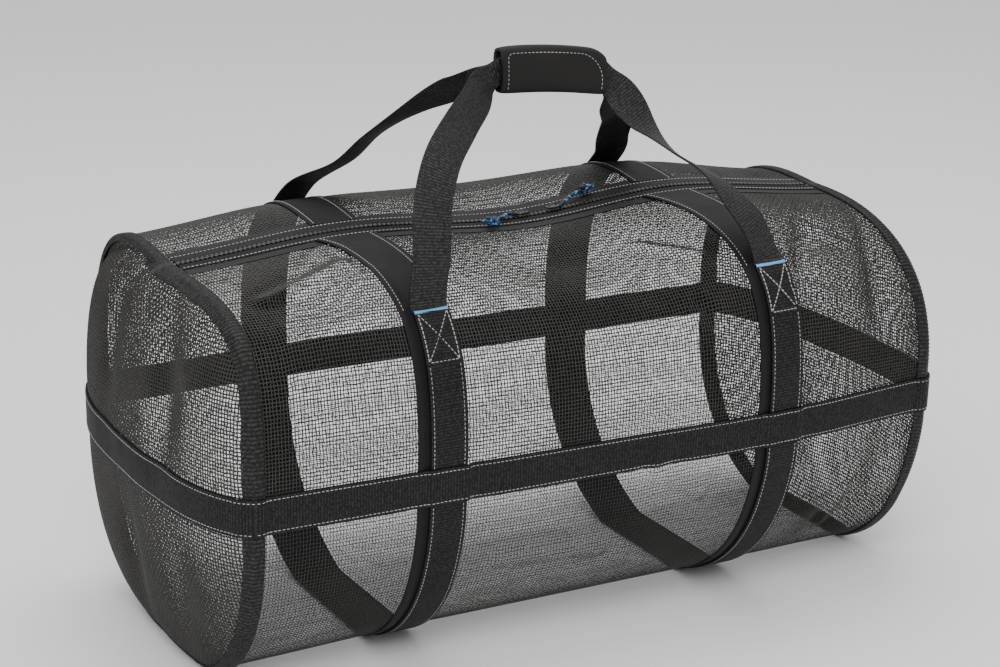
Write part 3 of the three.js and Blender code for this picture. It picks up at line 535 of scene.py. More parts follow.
class Loops:
    """The cloth's sections at a row of x, from the slit's front edge round the bottom to its back edge."""

    DENSE = 260

    def __init__(self, xs):
        self.x = np.asarray(xs, float)
        share = np.linspace(0, 1, self.DENSE)[:, None]
        parts = []
        self.top = {}
        for side in (-1, 1):
            top = angle_at_depth(self.x, side, SLIT / 2)
            self.top[side] = top
            angle = top[None] + (-math.pi / 2 + 1e-4 - top[None]) * share
            points = body_point(self.x[None] + 0 * angle, side, angle)
            parts.append(points if side < 0 else points[::-1])
        self.points = np.concatenate([parts[0], parts[1]], 0)
        self.place = np.concatenate([share[:, 0], 2 - share[::-1, 0]])
        steps = np.linalg.norm(np.diff(self.points, axis=0), axis=-1)
        self.arc = np.concatenate([np.zeros((1, len(self.x))), np.cumsum(steps, 0)], 0)

    def place_of(self, side, angle):
        share = (self.top[side] - angle) / (self.top[side] + math.pi / 2 - 1e-4)
        return share if side < 0 else 2 - share

    def at_height(self, side, z):
        return self.place_of(side, angle_at_height(self.x, side, z))

    def at_depth(self, side, y):
        return self.place_of(side, angle_at_depth(self.x, side, y))

    def rows(self, start, end, count=None, pitch=None, shares=None):
        """Points at equal steps of arc between two places of each section."""
        first = np.array([np.interp(start[i], self.place, self.arc[:, i]) for i in range(len(self.x))])
        last = np.array([np.interp(end[i], self.place, self.arc[:, i]) for i in range(len(self.x))])
        if shares is None:
            if count is None:
                count = int(round(abs(np.mean(last - first)) / pitch)) + 1
            shares = np.linspace(0, 1, count)
        out = np.zeros((len(shares), len(self.x), 3))
        for i in range(len(self.x)):
            wanted = first[i] + (last[i] - first[i]) * shares
            for k in range(3):
                out[:, i, k] = np.interp(wanted, self.arc[:, i], self.points[:, i, k])
        return out


BAND_TOP = BAND_HEIGHT + WEBBING_WIDTH / 2
BAND_BOTTOM = BAND_HEIGHT - WEBBING_WIDTH / 2


# The ends


def ring_y(side_x, side, z):
    """Where the end seam's front or back is at a height."""
    x = np.full_like(z, side_x)
    s = section_at(x, side)
    top = section_top(side_x)
    z = np.clip(z, FLOOR, top - 0.01)
    high = np.clip((z - s["waist"]) / s["rise"], 0, 1) ** (s["high"] / 2)
    low = np.clip((s["waist"] - z) / s["drop"], 0, 1) ** (s["low"] / 2)
    angle = np.where(z >= s["waist"], np.arcsin(high), -np.arcsin(low))
    return body_point(x, side, angle)[..., 1]


def section_top(side_x):
    x = np.array([float(side_x)])
    return float(body_point(x, -1, angle_at_depth(x, -1, SLIT / 2))[0, 2])


def dome(v):
    return (1 - np.minimum(np.abs(v), 1) ** 2.6) ** 0.6


def end_surface(end, y, z):
    """X of an end panel over a point of its outline plane."""
    heights = END_HEIGHTS[end]
    yf, yb = (np.interp(z, heights, edge) for edge in END_EDGES[end])
    across = np.clip((y - yf) / np.maximum(yb - yf, 1), 0, 1)
    up = np.clip(2 * (z - FLOOR) / (heights[-1] - FLOOR) - 1, -1, 1)
    bulge = dome(2 * across - 1) * dome(up * 0.985)
    for a, u, span_a, span_u, depth in END_CREASES:
        gap = ((across - a) / span_a) ** 2 + ((up - u) / span_u) ** 2
        bulge = bulge + depth * np.exp(-gap) * dome(2 * across - 1)
    reach = LEFT_BULGE if end < 0 else RIGHT_BULGE
    return end * (HALF + SEAM + np.maximum(bulge, 0) * reach)


END_HEIGHTS = {end: np.linspace(FLOOR, section_top(end * HALF), 200) for end in (-1, 1)}
END_EDGES = {end: [ring_y(end * HALF, side, END_HEIGHTS[end]) for side in (-1, 1)] for end in (-1, 1)}


# The net


def net_mesh(name, points, replaces, seed, strand, mask=None):
    """Woven strands on a grid of crossings: each strand is a low roof that goes over and under in turn."""
    random = np.random.default_rng(seed)
    rows, columns = points.shape[:2]
    if mask is None:
        mask = np.ones((rows, columns), bool)
    n = normals(points)
    along = unit(np.gradient(points, axis=1))
    down = unit(np.gradient(points, axis=0))
    shift = random.normal(0, NET_JITTER, (rows, columns, 2))
    shift[:, [0, -1]] = 0
    shift[[0, -1]] = 0
    points = points + along * shift[..., :1] + down * shift[..., 1:]
    over = np.where(np.add.outer(np.arange(rows), np.arange(columns)) % 2 == 0, 1, -1)[..., None]
    half, height = strand / 2, strand * STRAND_HEIGHT
    vertices, faces = [], []
    count = 0
    for across, sign, axis in ((down, 1, 1), (along, -1, 0)):
        middle = points - n * (WEAVE_DEPTH - sign * over * STRAND_WAVE)
        width = half * (1 + random.normal(0, STRAND_UNEVEN, (rows, columns, 1)))
        low = middle - n * height / 2
        profile = np.stack([low - across * width, middle + n * height, low + across * width], 2)
        vertices.append(profile.reshape(-1, 3))
        index = np.arange(rows * columns).reshape(rows, columns) * 3 + count
        first, second = (np.s_[:, :-1], np.s_[:, 1:]) if axis == 1 else (np.s_[:-1], np.s_[1:])
        keep = mask[first] & mask[second]
        a, b = index[first][keep], index[second][keep]
        for k in (0, 1):
            quad = [a + k, b + k, b + k + 1, a + k + 1]
            faces.append(np.stack(quad if axis == 1 else quad[::-1], -1))
        count += rows * columns * 3
    vertices = np.vstack(vertices)
    faces = np.vstack(faces)
    used, faces = np.unique(faces, return_inverse=True)
    vertices = vertices[used]
    faces = faces.reshape(-1, 4)
    flat = np.stack([vertices[:, 0] + vertices[:, 1] * 0.37, vertices[:, 2] + vertices[:, 1] * 0.61], 1)
    flat = (flat - flat.min(0)) / np.ptp(flat, axis=0).max()
    return make(name, vertices, faces, NET, replaces=replaces, slot="mesh", uv=flat * 0.98 + 0.01)


STRIP_EDGES = {
    name: (at - WEBBING_WIDTH / 2 - STRIP_LEFT_MARGIN, at + WEBBING_WIDTH / 2 + STRIP_RIGHT_MARGIN)
    for name, at in STRAPS.items()
}
# Where the net lies bare between the strips, with a little under each edge
BAYS = {
    "left": (-HALF + 2, STRIP_EDGES["left"][0] + 2),
    "middle": (STRIP_EDGES["left"][1] - 1, STRIP_EDGES["right"][0] + 2),
    "right": (STRIP_EDGES["right"][1] - 1, HALF - 2),
}


def seam_outline(end):
    """The end seam seen along the bag: a closed line of Y and Z."""
    x = np.full(240, float(end * HALF))
    sides = []
    for side, step in ((-1, 1), (1, -1)):
        top = angle_at_depth(x[:1], side, SLIT / 2)[0]
        sides.append(body_point(x, side, np.linspace(-np.pi / 2, top, 240))[::step, 1:])
    line = np.vstack([*sides, sides[0][:1]])
    return along(line, line, np.arange(0, line_length(line), 1.0))


def inside_line(y, z, line):
    """Which points lie inside a closed line."""
    inside = np.zeros(y.shape, bool)
    for (y0, z0), (y1, z1) in zip(line[:-1], line[1:]):
        if z0 != z1:
            inside ^= ((z0 > z) != (z1 > z)) & (y < y0 + (y1 - y0) * (z - z0) / (z1 - z0))
    return inside


def reach_seam(y, z, seam):
    """Moves the first crossings outside the seam on to it, and says which crossings the net has."""
    inside = inside_line(y, z, seam)
    kept = inside.copy()
    kept[1:] |= inside[:-1]
    kept[:-1] |= inside[1:]
    kept[:, 1:] |= inside[:, :-1]
    kept[:, :-1] |= inside[:, 1:]
    moved = kept & ~inside
    away = np.hypot(y[moved][:, None] - seam[:, 0], z[moved][:, None] - seam[:, 1])
    nearest = seam[np.argmin(away, 1)]
    y[moved], z[moved] = nearest[:, 0], nearest[:, 1]
    return kept


def make_nets():
    for number, (bay, (start, end)) in enumerate(BAYS.items()):
        count = int(round((end - start) / NET_PITCH_ALONG)) + 1
        loops = Loops(np.linspace(start, end, count))
        edges = [loops.at_depth(side, SLIT / 2 + NET_FROM_SLIT) for side in (-1, 1)]
        above = [loops.at_height(side, BAND_TOP - NET_UNDER_BAND) for side in (-1, 1)]
        below = [loops.at_height(side, BAND_BOTTOM + NET_UNDER_BAND) for side in (-1, 1)]
        spans = {"upper_front": (edges[0], above[0]), "lower": below, "upper_back": (above[1], edges[1])}
        for k, (panel, (first, last)) in enumerate(spans.items()):
            points = loops.rows(first, last, count=NET_ROWS[panel])
            net_mesh(f"net_{panel}_{bay}", points, (panel + "_mesh",), 10 * number + k, STRANDS[panel])
    for end, name in ((-1, "left"), (1, "right")):
        seam = seam_outline(end)
        zs = np.arange(FLOOR + 1 - NET_PITCH_ROUND, seam[:, 1].max() + 1.5 * NET_PITCH_ROUND, NET_PITCH_ROUND)
        ys = np.arange(-END_REACH - NET_PITCH_ALONG, END_REACH + NET_PITCH_ALONG, NET_PITCH_ALONG)
        if end < 0:
            ys = ys[::-1]
        y, z = np.meshgrid(ys, zs[::-1])
        kept = reach_seam(y, z, seam)
        points = np.stack([end_surface(end, y, z), y, z], -1)
        net_mesh("net_end_" + name, points, ("end_panel_" + name,), 50 + end, STRANDS[name], kept)


# Webbing, strips and bindings


def rib(count):
    """Heights of the ribs across a webbing, up and down in turn."""
    return np.where(np.arange(count) % 2 == 0, RIB_DEPTH, -RIB_DEPTH)[:, None, None]


def crest_highlights(points):
    """One on each rib's crest and zero in each groove: the mask of the painted highlight on the crests."""
    crest = np.where(np.arange(len(points)) % 2 == 0, 1.0, 0.0)
    return np.repeat(crest[:, None], points.shape[1], 1)


def webbing(parts, points, n, low, closed=False):
    """A ribbed webbing on a grid, whose rows are half a rib apart, its crests marked for the painted
    highlight.
    """
    edge = np.zeros(points.shape[1])
    edge[[0, -1]] = -0.35
    high = points + n * (low + WEBBING + edge[None, :, None] + rib(len(points)))
    parts.slab(points + n * low, high, closed=closed, ridge=crest_highlights(points))


STITCH_QUADS = np.array([[4, 7, 6, 5], [0, 3, 7, 4], [2, 1, 5, 6], [1, 0, 4, 5], [3, 2, 6, 7]])


def stitches(parts, line, n, lift=0.1, wide=0.36, long=3.0):
    """A dashed line of raised thread along a line that lies on a surface."""
    starts = np.arange(0.8, line_length(line) - long, STITCH_PITCH)
    if not len(starts):
        return
    a, b = along(line, line, starts), along(line, line, starts + long)
    up = unit(along(line, n, starts + long / 2))
    way = unit(b - a)
    side = np.cross(up, way)
    corners = []
    for height, inset, half in ((lift - 0.4, 0.0, wide), (lift + 0.34, 0.4, wide * 0.6)):
        for end, sign, inward in ((a, -1, 1), (a, 1, 1), (b, 1, -1), (b, -1, -1)):
            corners.append(end + way * inset * inward + side * half * sign + up * height)
    base = np.arange(len(starts))[:, None, None] * 8
    parts.add(np.stack(corners, 1), (base + STITCH_QUADS[None]).reshape(-1, 4))


def strap_columns(at):
    half = WEBBING_WIDTH / 2
    return at + np.array([-half, -half + 1.6, half - 1.6, half])


def grid_at(points, u, v):
    """Points of a grid at places along its columns and its rows."""
    i = np.clip(np.floor(v).astype(int), 0, len(points) - 2)
    j = np.clip(np.floor(u).astype(int), 0, points.shape[1] - 2)
    s, t = (v - i)[:, None], (u - j)[:, None]
    upper = points[i, j] * (1 - t) + points[i, j + 1] * t
    lower = points[i + 1, j] * (1 - t) + points[i + 1, j + 1] * t
    return upper * (1 - s) + lower * s


def patch(side, at, start, length):
    """A grid one millimetre fine on the cloth across a strap, from a height down, with its normals."""
    half = WEBBING_WIDTH / 2
    loops = Loops(np.linspace(at - half, at + half, WEBBING_WIDTH + 1))
    top = loops.at_height(side, start)
    end = loops.at_height(side, start - length)
    points = loops.rows(top, end, shares=np.linspace(0, 1, int(length) + 1))
    return points, normals(points) * (1 if side < 0 else -1)


def make_straps():
    thread, tacks = Parts(), Parts()
    top = STRAP_LOW + WEBBING
    for name, at in STRAPS.items():
        loops = Loops(strap_columns(at))
        start, end = loops.at_height(-1, TACK_HEIGHT), loops.at_height(1, TACK_HEIGHT)
        points = loops.rows(start, end, pitch=RIB_PITCH / 2)
        parts = Parts()
        webbing(parts, points, normals(points), STRAP_LOW)
        parts.make("webbing_strap_" + name, WEB, replaces=("strap_" + name,), slot="webbing")
        for across in (-EDGE_STITCH, EDGE_STITCH):
            near = Loops([at + across - 2, at + across, at + across + 2])
            rows = near.rows(near.at_height(-1, BOX_BOTTOM), near.at_height(1, BOX_BOTTOM), pitch=3)
            stitches(thread, rows[:, 1], normals(rows)[:, 1], top + 0.1)
        for side in (-1, 1):
            points, n = patch(side, at, TACK_HEIGHT + 3, 60)
            middle = WEBBING_WIDTH / 2
            u, v = EDGE_STITCH, BOX_TALL
            for path in ([(u, 4), (u, v), (-u, v), (-u, 4), (u, v)], [(u, 4), (-u, v)]):
                for (u0, v0), (u1, v1) in zip(path, path[1:]):
                    t = np.linspace(0, 1, 20)
                    us, vs = middle + u0 + (u1 - u0) * t, v0 + (v1 - v0) * t
                    stitches(thread, grid_at(points, us, vs), grid_at(n, us, vs), top + 0.4, 0.5, 3.3)
            make_tack(tacks, points, n, 0.5, top)
    thread.make("stitches_straps", THREAD, slot="webbing")
    tacks.make("bar_tacks", TACK, slot="webbing")


def make_tack(parts, points, n, row, top):
    """A bar tack: close-set threads over the webbing's width."""
    u = np.linspace(0.6, WEBBING_WIDTH - 0.6, 96)
    lines = []
    for offset, height in ((-1.5, -0.2), (-1.0, 0.45), (0, 0.75), (1.0, 0.45), (1.5, -0.2)):
        zig = np.where(np.arange(len(u)) % 2 == 0, 0.14, -0.14)
        v = np.full(len(u), row + 1.5 + offset)
        lines.append(grid_at(points, u, v) + grid_at(n, u, v) * (top + height + zig[:, None]))
    parts.grid(np.stack(lines))


def make_strips():
    thread = Parts()
    for name, at in STRAPS.items():
        left, right = STRIP_EDGES[name]
        xs = np.concatenate([np.linspace(left - STRIP_FLARE - 2, left, 13), np.linspace(left, right, 15)[1:]])
        loops = Loops(xs)
        first, last = (loops.at_depth(side, SLIT / 2 + TAPE_WIDTH) for side in (-1, 1))
        points = loops.rows(first, last, pitch=3)
        n = normals(points)
        share = np.linspace(0, 1, len(points))
        k = int(np.argmin(np.abs(xs - at)))
        places = (first, loops.at_height(-1, TACK_HEIGHT), last)
        arcs = [np.interp(p[k], loops.place, loops.arc[:, k]) for p in places]
        tack = (arcs[1] - arcs[0]) / (arcs[2] - arcs[0])
        near = np.clip((tack - share) / tack, 0, 1)
        edge = left - STRIP_FLARE * near**STRIP_FLARE_POWER
        inner = np.linspace(0, 1, 7)[1:-1]
        turned = edge + HEM_WIDTH + HEM_STEP
        columns = [edge, edge + STRIP_ROLL, edge + HEM_WIDTH, turned]
        columns += [turned + (right - STRIP_ROLL - turned) * u for u in inner]
        columns += [right - STRIP_ROLL + 0 * edge, right + 0 * edge]
        columns = np.stack(columns, 1)

        def pick(values):
            out = np.zeros((*columns.shape, 3))
            for r in range(len(columns)):
                for c in range(3):
                    out[r, :, c] = np.interp(columns[r], xs, values[r, :, c])
            return out

        base, up = pick(points), unit(pick(n))
        fade = (columns - edge[:, None]) / (right - edge)[:, None]
        low = (GAP * (1 + 2 * near[:, None] * (1 - fade)))[..., None]
        thick = np.full(columns.shape, float(STRIP))
        thick[:, 1:3] += 0.45
        thick[:, 0] -= 0.2
        thick[:, -1] -= 0.2
        parts = Parts()
        parts.slab(base + up * low, base + up * (low + thick[..., None]))
        parts.make("fabric_strip_" + name, FABRIC, replaces=("strip_" + name,), slot="fabric")
        lift = low[:, 1] + STRIP + 0.4
        line = base[:, 1] * 0.35 + base[:, 2] * 0.65 + up[:, 1] * lift
        top = int(np.argmax(share > tack))
        for rows in (slice(0, top), slice(len(line) - top, None)):
            stitches(thread, line[rows], up[rows, 1])
        line = base[:, -2] * 0.3 + base[:, -3] * 0.7 + up[:, -2] * (low[:, -2] + STRIP)
        for rows in (slice(0, top), slice(len(line) - top, None)):
            stitches(thread, line[rows], up[rows, -2])
    thread.make("stitches_strips", THREAD, slot="fabric")


def make_bindings():
    """A ribbed tape folded over each end seam, from the body's cloth on to the end panel."""
    for end, name in ((-1, "left"), (1, "right")):
        ring = end * HALF
        away = [10, 9.2, 4.6, 0]
        xs = np.array([ring - end * d for d in away])
        loops = Loops(np.sort(xs))
        points = loops.rows(loops.at_depth(-1, SLIT / 2), loops.at_depth(1, SLIT / 2), pitch=BINDING_RIB / 4)
        n = normals(points)
        if end < 0:
            points, n = points[:, ::-1], n[:, ::-1]
        count = len(points)
        out = n[:, 3] * np.array([0, 1, 1])
        out = unit(out)
        crest = (np.cos(np.pi * np.arange(count) / 2) * 0.5 + 0.5)[:, None]
        ridge = crest * 0.8 - 0.4
        side = np.array([end, 0, 0.0])
        lines = [points[:, 0] + n[:, 0] * 0.3]
        for k, height in ((0, 1.9), (1, 2.3), (2, 2.7), (3, 2.75)):
            lines.append(points[:, k] + n[:, k] * (height + ridge))
        seam = points[:, 3]
        lines.append(seam + out * (1.9 + ridge) + side * 2.2)
        for inward, lift in ((0.6, 2.1), (1.6, 1.8), (2.8, 1.6), (4.2, 1.4), (4.7, 0.2)):
            q = seam - out * inward
            x = end_surface(end, q[:, 1], q[:, 2])
            x = np.where(end * (x - ring) < 2.6, ring + end * 2.0, x)
            q = np.stack([x, q[:, 1], q[:, 2]], 1)
            lines.append(q + side * (lift + ridge * (lift > 1)))
        lines.append(seam - out * 0.2)
        lines.append(lines[0])
        grid = np.stack(lines, 1)
        grid[..., 2] = np.maximum(grid[..., 2], 0.3)
        parts = Parts()
        # The crests also carry the painted highlight of the binding's material.
        parts.grid(grid, flip=end < 0, closed=True, ridge=np.repeat(crest, grid.shape[1], 1))
        parts.make("binding_" + name, TRIM, replaces=("end_binding_" + name,), slot="fabric")


def box_step(x, low, high, ramp):
    rise = np.clip((x - low + ramp) / ramp, 0, 1) * np.clip((high + ramp - x) / ramp, 0, 1)
    return rise * rise * (3 - 2 * rise)


def spread(line, count):
    """The columns of a grid of lines, spaced evenly along their length."""
    out = []
    for k in range(line.shape[1]):
        total = line_length(line[:, k])
        out.append(along(line[:, k], line[:, k], np.linspace(0, total, count)))
    return np.stack(out, 1)


def band_path():
    """Rows of the girth band's inner face, round the bag from its front left, each from bottom to top."""
    shares = np.array([0, 0.04, 0.96, 1])
    xs = np.arange(-HALF + 1, HALF, 2.0)
    loops = Loops(xs)
    lift = GAP + 0 * xs
    for name, at in STRAPS.items():
        lift = lift + (STRIP + GAP) * box_step(xs, *STRIP_EDGES[name], 4)
        lift = lift + (WEBBING + GAP + 0.2) * box_step(xs, at - WEBBING_WIDTH / 2, at + WEBBING_WIDTH / 2, 5)
    lift = lift + (BINDING + GAP + 0.1) * (1 - box_step(xs, -HALF + BINDING_WIDTH, HALF - BINDING_WIDTH, 5))
    sides = {}
    for side in (-1, 1):
        rows = loops.rows(loops.at_height(side, BAND_BOTTOM), loops.at_height(side, BAND_TOP), shares=shares)
        n = normals(rows) * side
        sides[side] = (rows + n * lift[None, :, None]).transpose(1, 0, 2)
    ends = {}
    for end in (-1, 1):
        z = BAND_BOTTOM + WEBBING_WIDTH * shares
        lines = []
        for k in range(4):
            front, back = (float(ring_y(end * HALF, side, z[k : k + 1])[0]) for side in (-1, 1))
            y = np.linspace(front + 3, back - 3, 160)
            edge = np.minimum(y - front, back - y)
            near = np.clip((14 - edge) / 5, 0, 1)
            x = end_surface(end, y, np.full_like(y, z[k]))
            x = np.where(end * x - HALF < 2.6, end * (HALF + 2.6), x)
            over = GAP + near * 1.9
            line = np.stack([x + end * over, y, np.full_like(y, z[k])], 1)
            corner = BINDING + GAP + 0.5
            first = [end * (HALF + 1.5), front - corner, z[k]], [end * (HALF + 3.6), front - 1.5, z[k]]
            last = [end * (HALF + 3.6), back + 1.5, z[k]], [end * (HALF + 1.5), back + corner, z[k]]
            lines.append(np.vstack([first, line, last]))
        ends[end] = np.stack(lines, 1)
    loop = [sides[-1], ends[1], sides[1][::-1], ends[-1][::-1]]
    rows = [spread(part, int(line_length(part[:, 1]) / (RIB_PITCH / 2))) for part in loop]
    path = np.vstack(rows)
    for _ in range(3):
        path = (np.roll(path, 1, 0) + 2 * path + np.roll(path, -1, 0)) / 4
    if len(path) % 2:
        path = path[:-1]
    return path


def make_band():
    path = band_path()
    n = normals(path, closed=True)
    parts = Parts()
    webbing(parts, path, n, 0, closed=True)
    parts.make("webbing_girth_band", WEB, replaces=("girth_band",), slot="webbing")
    thread = Parts()
    for share in (0.085, 0.915):
        line = path[:, 0] * (1 - share) + path[:, 3] * share
        line = np.vstack([line, line[:1]])
        stitches(thread, line, np.vstack([n[:, 1], n[:1, 1]]), WEBBING + 0.1)
    thread.make("stitches_band", THREAD, slot="webbing")


# The zipper


def slit_middle(xs):
    loops = Loops(np.atleast_1d(xs))
    sides = []
    for side in (-1, 1):
        place = loops.at_depth(side, SLIT / 2)
        sides.append(loops.rows(place, place, shares=np.array([0.0]))[0])
    return (sides[0] + sides[1]) / 2


def block(parts, middle, way, up, half, height, chamfer):
    """Small blocks with chamfered tops, one at each of the middles."""
    across = np.cross(up, way)
    corners = []
    for z, inset in ((0, 0), (height - chamfer, 0), (height, chamfer)):
        for sx, sy in ((-1, -1), (1, -1), (1, 1), (-1, 1)):
            corners.append(middle + way * sx * (half[0] - inset) + across * sy * (half[1] - inset) + up * z)
    quads = [[8, 9, 10, 11], [3, 2, 1, 0]]
    for level in (0, 4):
        for k in range(4):
            j = (k + 1) % 4
            quads.append([level + k, level + j, level + j + 4, level + k + 4])
    base = np.arange(len(middle))[:, None, None] * 12
    parts.add(np.stack(corners, 1), (base + np.array(quads)[None]).reshape(-1, 4))


def tube(parts, path, radius, sides=12):
    """A closed tube along a path."""
    path = np.asarray(path, float)
    way = unit(np.gradient(path, axis=0))
    n = np.zeros_like(path)
    guess = np.array([0, 0, 1.0]) if abs(way[0, 2]) < 0.9 else np.array([0, 1.0, 0])
    for i, w in enumerate(way):
        guess = unit(guess - w * np.dot(guess, w))
        n[i] = guess
    b = np.cross(way, n)
    angle = 2 * np.pi * np.arange(sides) / sides
    round_ = n[:, None] * np.cos(angle)[None, :, None] + b[:, None] * np.sin(angle)[None, :, None]
    rows = path[:, None] + round_ * radius
    caps = []
    for i, sign in ((0, -1), (-1, 1)):
        caps.append([path[i] + round_[i] * radius * 0.72 + way[i] * sign * radius * 0.35])
        caps.append([path[i] + round_[i] * 0.01 * radius + way[i] * sign * radius * 0.45])
    rows = np.concatenate([caps[1], caps[0], rows, caps[2], caps[3]])
    rows = np.concatenate([rows, rows[:, :1]], 1)
    parts.grid(rows, flip=True)


def catmull(points, step):
    """A centripetal spline through points, resampled at even steps."""
    points = np.asarray(points, float)
    ends = [2 * points[0] - points[1], *points, 2 * points[-1] - points[-2]]
    out = []
    t = np.linspace(0, 1, 40, endpoint=False)[:, None]
    for p0, p1, p2, p3 in zip(ends, ends[1:], ends[2:], ends[3:]):
        d0, d1, d2 = (np.dot(b - a, b - a) ** 0.25 for a, b in ((p0, p1), (p1, p2), (p2, p3)))
        t1 = ((p1 - p0) / d0 - (p2 - p0) / (d0 + d1) + (p2 - p1) / d1) * d1
        t2 = ((p2 - p1) / d1 - (p3 - p1) / (d1 + d2) + (p3 - p2) / d2) * d1
        out.append(p1 + t1 * t + (3 * (p2 - p1) - 2 * t1 - t2) * t**2 + (2 * (p1 - p2) + t1 + t2) * t**3)
    dense = np.vstack([*out, points[-1:]])
    total = line_length(dense)
    return along(dense, dense, np.linspace(0, total, max(int(round(total / step)), 2) + 1))


def make_zipper():
    xs = np.arange(-HALF + BINDING_WIDTH + GAP, HALF - BINDING_WIDTH - GAP + 0.01, 3)
    loops = Loops(xs)
    thread = Parts()
    for side, name in ((-1, "front"), (1, "back")):
        edge = loops.at_depth(side, SLIT / 2)
        outer = loops.at_depth(side, SLIT / 2 + TAPE_WIDTH - GAP)
        shares = np.array([0, 0.05, 0.3, 0.34, 0.95, 1])
        points = loops.rows(edge, outer, shares=shares)
        height = np.array([TAPE + 0.3, TAPE + 0.5, TAPE + 0.4, TAPE, TAPE, TAPE - 0.25])
        hem_edge = loops.at_depth(side, SLIT / 2 + TAPE_WIDTH + HEMS[name])
        hem = loops.rows(outer, hem_edge, shares=np.array([0, 0.5, 0.97, 1]))
        if side > 0:
            points, height, hem = points[::-1], height[::-1], hem[::-1]
        n = normals(points)
        parts = Parts()
        parts.slab(points + n * GAP, points + n * (GAP + height[:, None, None]))
        parts.make("zipper_tape_" + name + "_cloth", FABRIC, replaces=("zipper_tape_" + name,), slot="fabric")
        parts = Parts()
        m = normals(hem)
        parts.slab(hem - m * 0.2, hem + m * 0.33)
        parts.make("hem_" + name, HEM_PAINTED_SHEEN, slot="fabric")
        rows = loops.rows(edge, outer, shares=np.array([TAPE_STITCH - 0.05, TAPE_STITCH, TAPE_STITCH + 0.05]))
        stitches(thread, rows[1], normals(rows)[1] * (1 if side < 0 else -1), GAP + TAPE + 0.1)
    thread.make("stitches_zipper", THREAD, slot="fabric")
    fine = np.arange(xs[0], xs[-1], 1.5)
    middle = slit_middle(fine)
    length = line_length(middle)
    places = np.arange(1.0, length - 1, TOOTH_PITCH / 2)
    at = along(middle, middle, places)
    way = unit(along(middle, np.gradient(middle, axis=0), places))
    right = np.array([0, 1.0, 0])
    up = unit(np.cross(way, right))
    hand = np.where(np.arange(len(places)) % 2 == 0, -1, 1)[:, None]
    parts = Parts()
    block(parts, at + right * hand * 1.5 - up * 1.2, way, up, (1.2, 3.3), CHAIN_HEIGHT + 0.7, 0.6)
    corners = ((-4.5, -0.5), (-4.5, 0.1), (4.5, 0.1), (4.5, -0.5))
    floor = [middle + right * y + np.array([0, 0, z]) for y, z in corners]
    parts.grid(np.stack(floor)[::-1])
    parts.make("zipper_teeth", TEETH, replaces=("zipper_chain",), slot="teeth", smooth=False)


def local(origin, axes, points):
    return origin + np.asarray(points, float) @ np.stack(axes)


def make_sliders():
    for side, name in ((-1, "left"), (1, "right")):
        x = SLIDERS_AT + side * (SLIDER_GAP / 2 + SLIDER_LENGTH / 2)
        middle = slit_middle([x - 12, x, x + 12])
        way = unit(middle[2] - middle[0])
        ay = np.array([0, float(side), 0])
        ax = way * side
        axes = (ax, ay, np.cross(ax, ay))
        seat = middle[1] + np.array([0, 0, SLIDER_SEAT])
        half, long = SLIDER_WIDTH / 2, SLIDER_LENGTH / 2
        arc = np.radians(np.linspace(-90, 90, 13))
        nose = np.stack([long - half + half * np.cos(arc), half * np.sin(arc)], 1)
        outline = np.vstack([[[-long, -half * 0.62]], nose, [[-long, half * 0.62]], [[-long, 0]]])
        rows = []
        for z, k in SLIDER_PROFILE:
            rows.append(np.column_stack([outline * k, np.full(len(outline), float(z))]))
        rows = np.stack(rows)
        rows = np.concatenate([rows, rows[:, :1]], 1)
        parts = Parts()
        parts.grid(local(seat, axes, rows), flip=True)
        bail = catmull([(-4.2, 0, 4.0), (-3.8, 0, 5.6), (0, 0, 6.3), (3.8, 0, 5.6), (4.2, 0, 4.0)], 0.5)
        tube(parts, local(seat, axes, bail), 0.85, 10)
        parts.make("slider_" + name, METAL, replaces=("zipper_slider_" + name,), slot="slider")


def make_cords():
    for side, name in ((-1, "left"), (1, "right")):
        x = SLIDERS_AT + side * (SLIDER_GAP / 2 + SLIDER_LENGTH / 2)
        x += side * (SLIDER_LENGTH / 2 + 2 * GAP)
        start = slit_middle([x])[0] + np.array([0, 0, SLIDER_SEAT + SLIDER_HEIGHT / 2])
        path = catmull(start + np.array(PULL_ROUTES[name]), 0.8)
        parts = Parts()
        tube(parts, path, PULL_CORD / 2, 14)
        cord = parts.make("cord_" + name, CORD, replaces=("pull_cord_" + name,), slot="cord")
        way = unit(path[-1] - path[-2])
        middle = path[-1] + way * (PULL_KNOT / 2 + GAP)
        angle = np.linspace(0, 2 * np.pi, 120)
        size = (PULL_KNOT / 2 - 1.2) / 3
        reach = (2 + np.cos(3 * angle)) * size
        circle = [reach * np.cos(2 * angle), reach * np.sin(2 * angle)]
        turns = np.stack([*circle, 1.5 * size * np.sin(3 * angle)], 1)
        side_way = unit(np.cross(way, [0, 0, 1.0]))
        axes = (way, side_way, np.cross(way, side_way))
        knot = Parts()
        tube(knot, local(middle, axes, turns), 2.2, 12)
        tail = [(2, 0, 0), (6, 1, 0.2), (10, 3, -0.4), (13, 3.6, -1.4)]
        tube(knot, local(middle, axes, catmull(tail, 0.8)), 1.9, 10)
        knot = knot.make("knot_" + name, CORD, replaces=("pull_knot_" + name,), slot="cord")


# Handles and grip


def grip_point(x, forward):
    arch = GRIP_ARCH * (x / GRIP_HALF) ** 2
    return np.array([GRIP_ACROSS + x, -GRIP_FORWARD + forward, GRIP_UP + GRIP_SLOPE * x - arch])


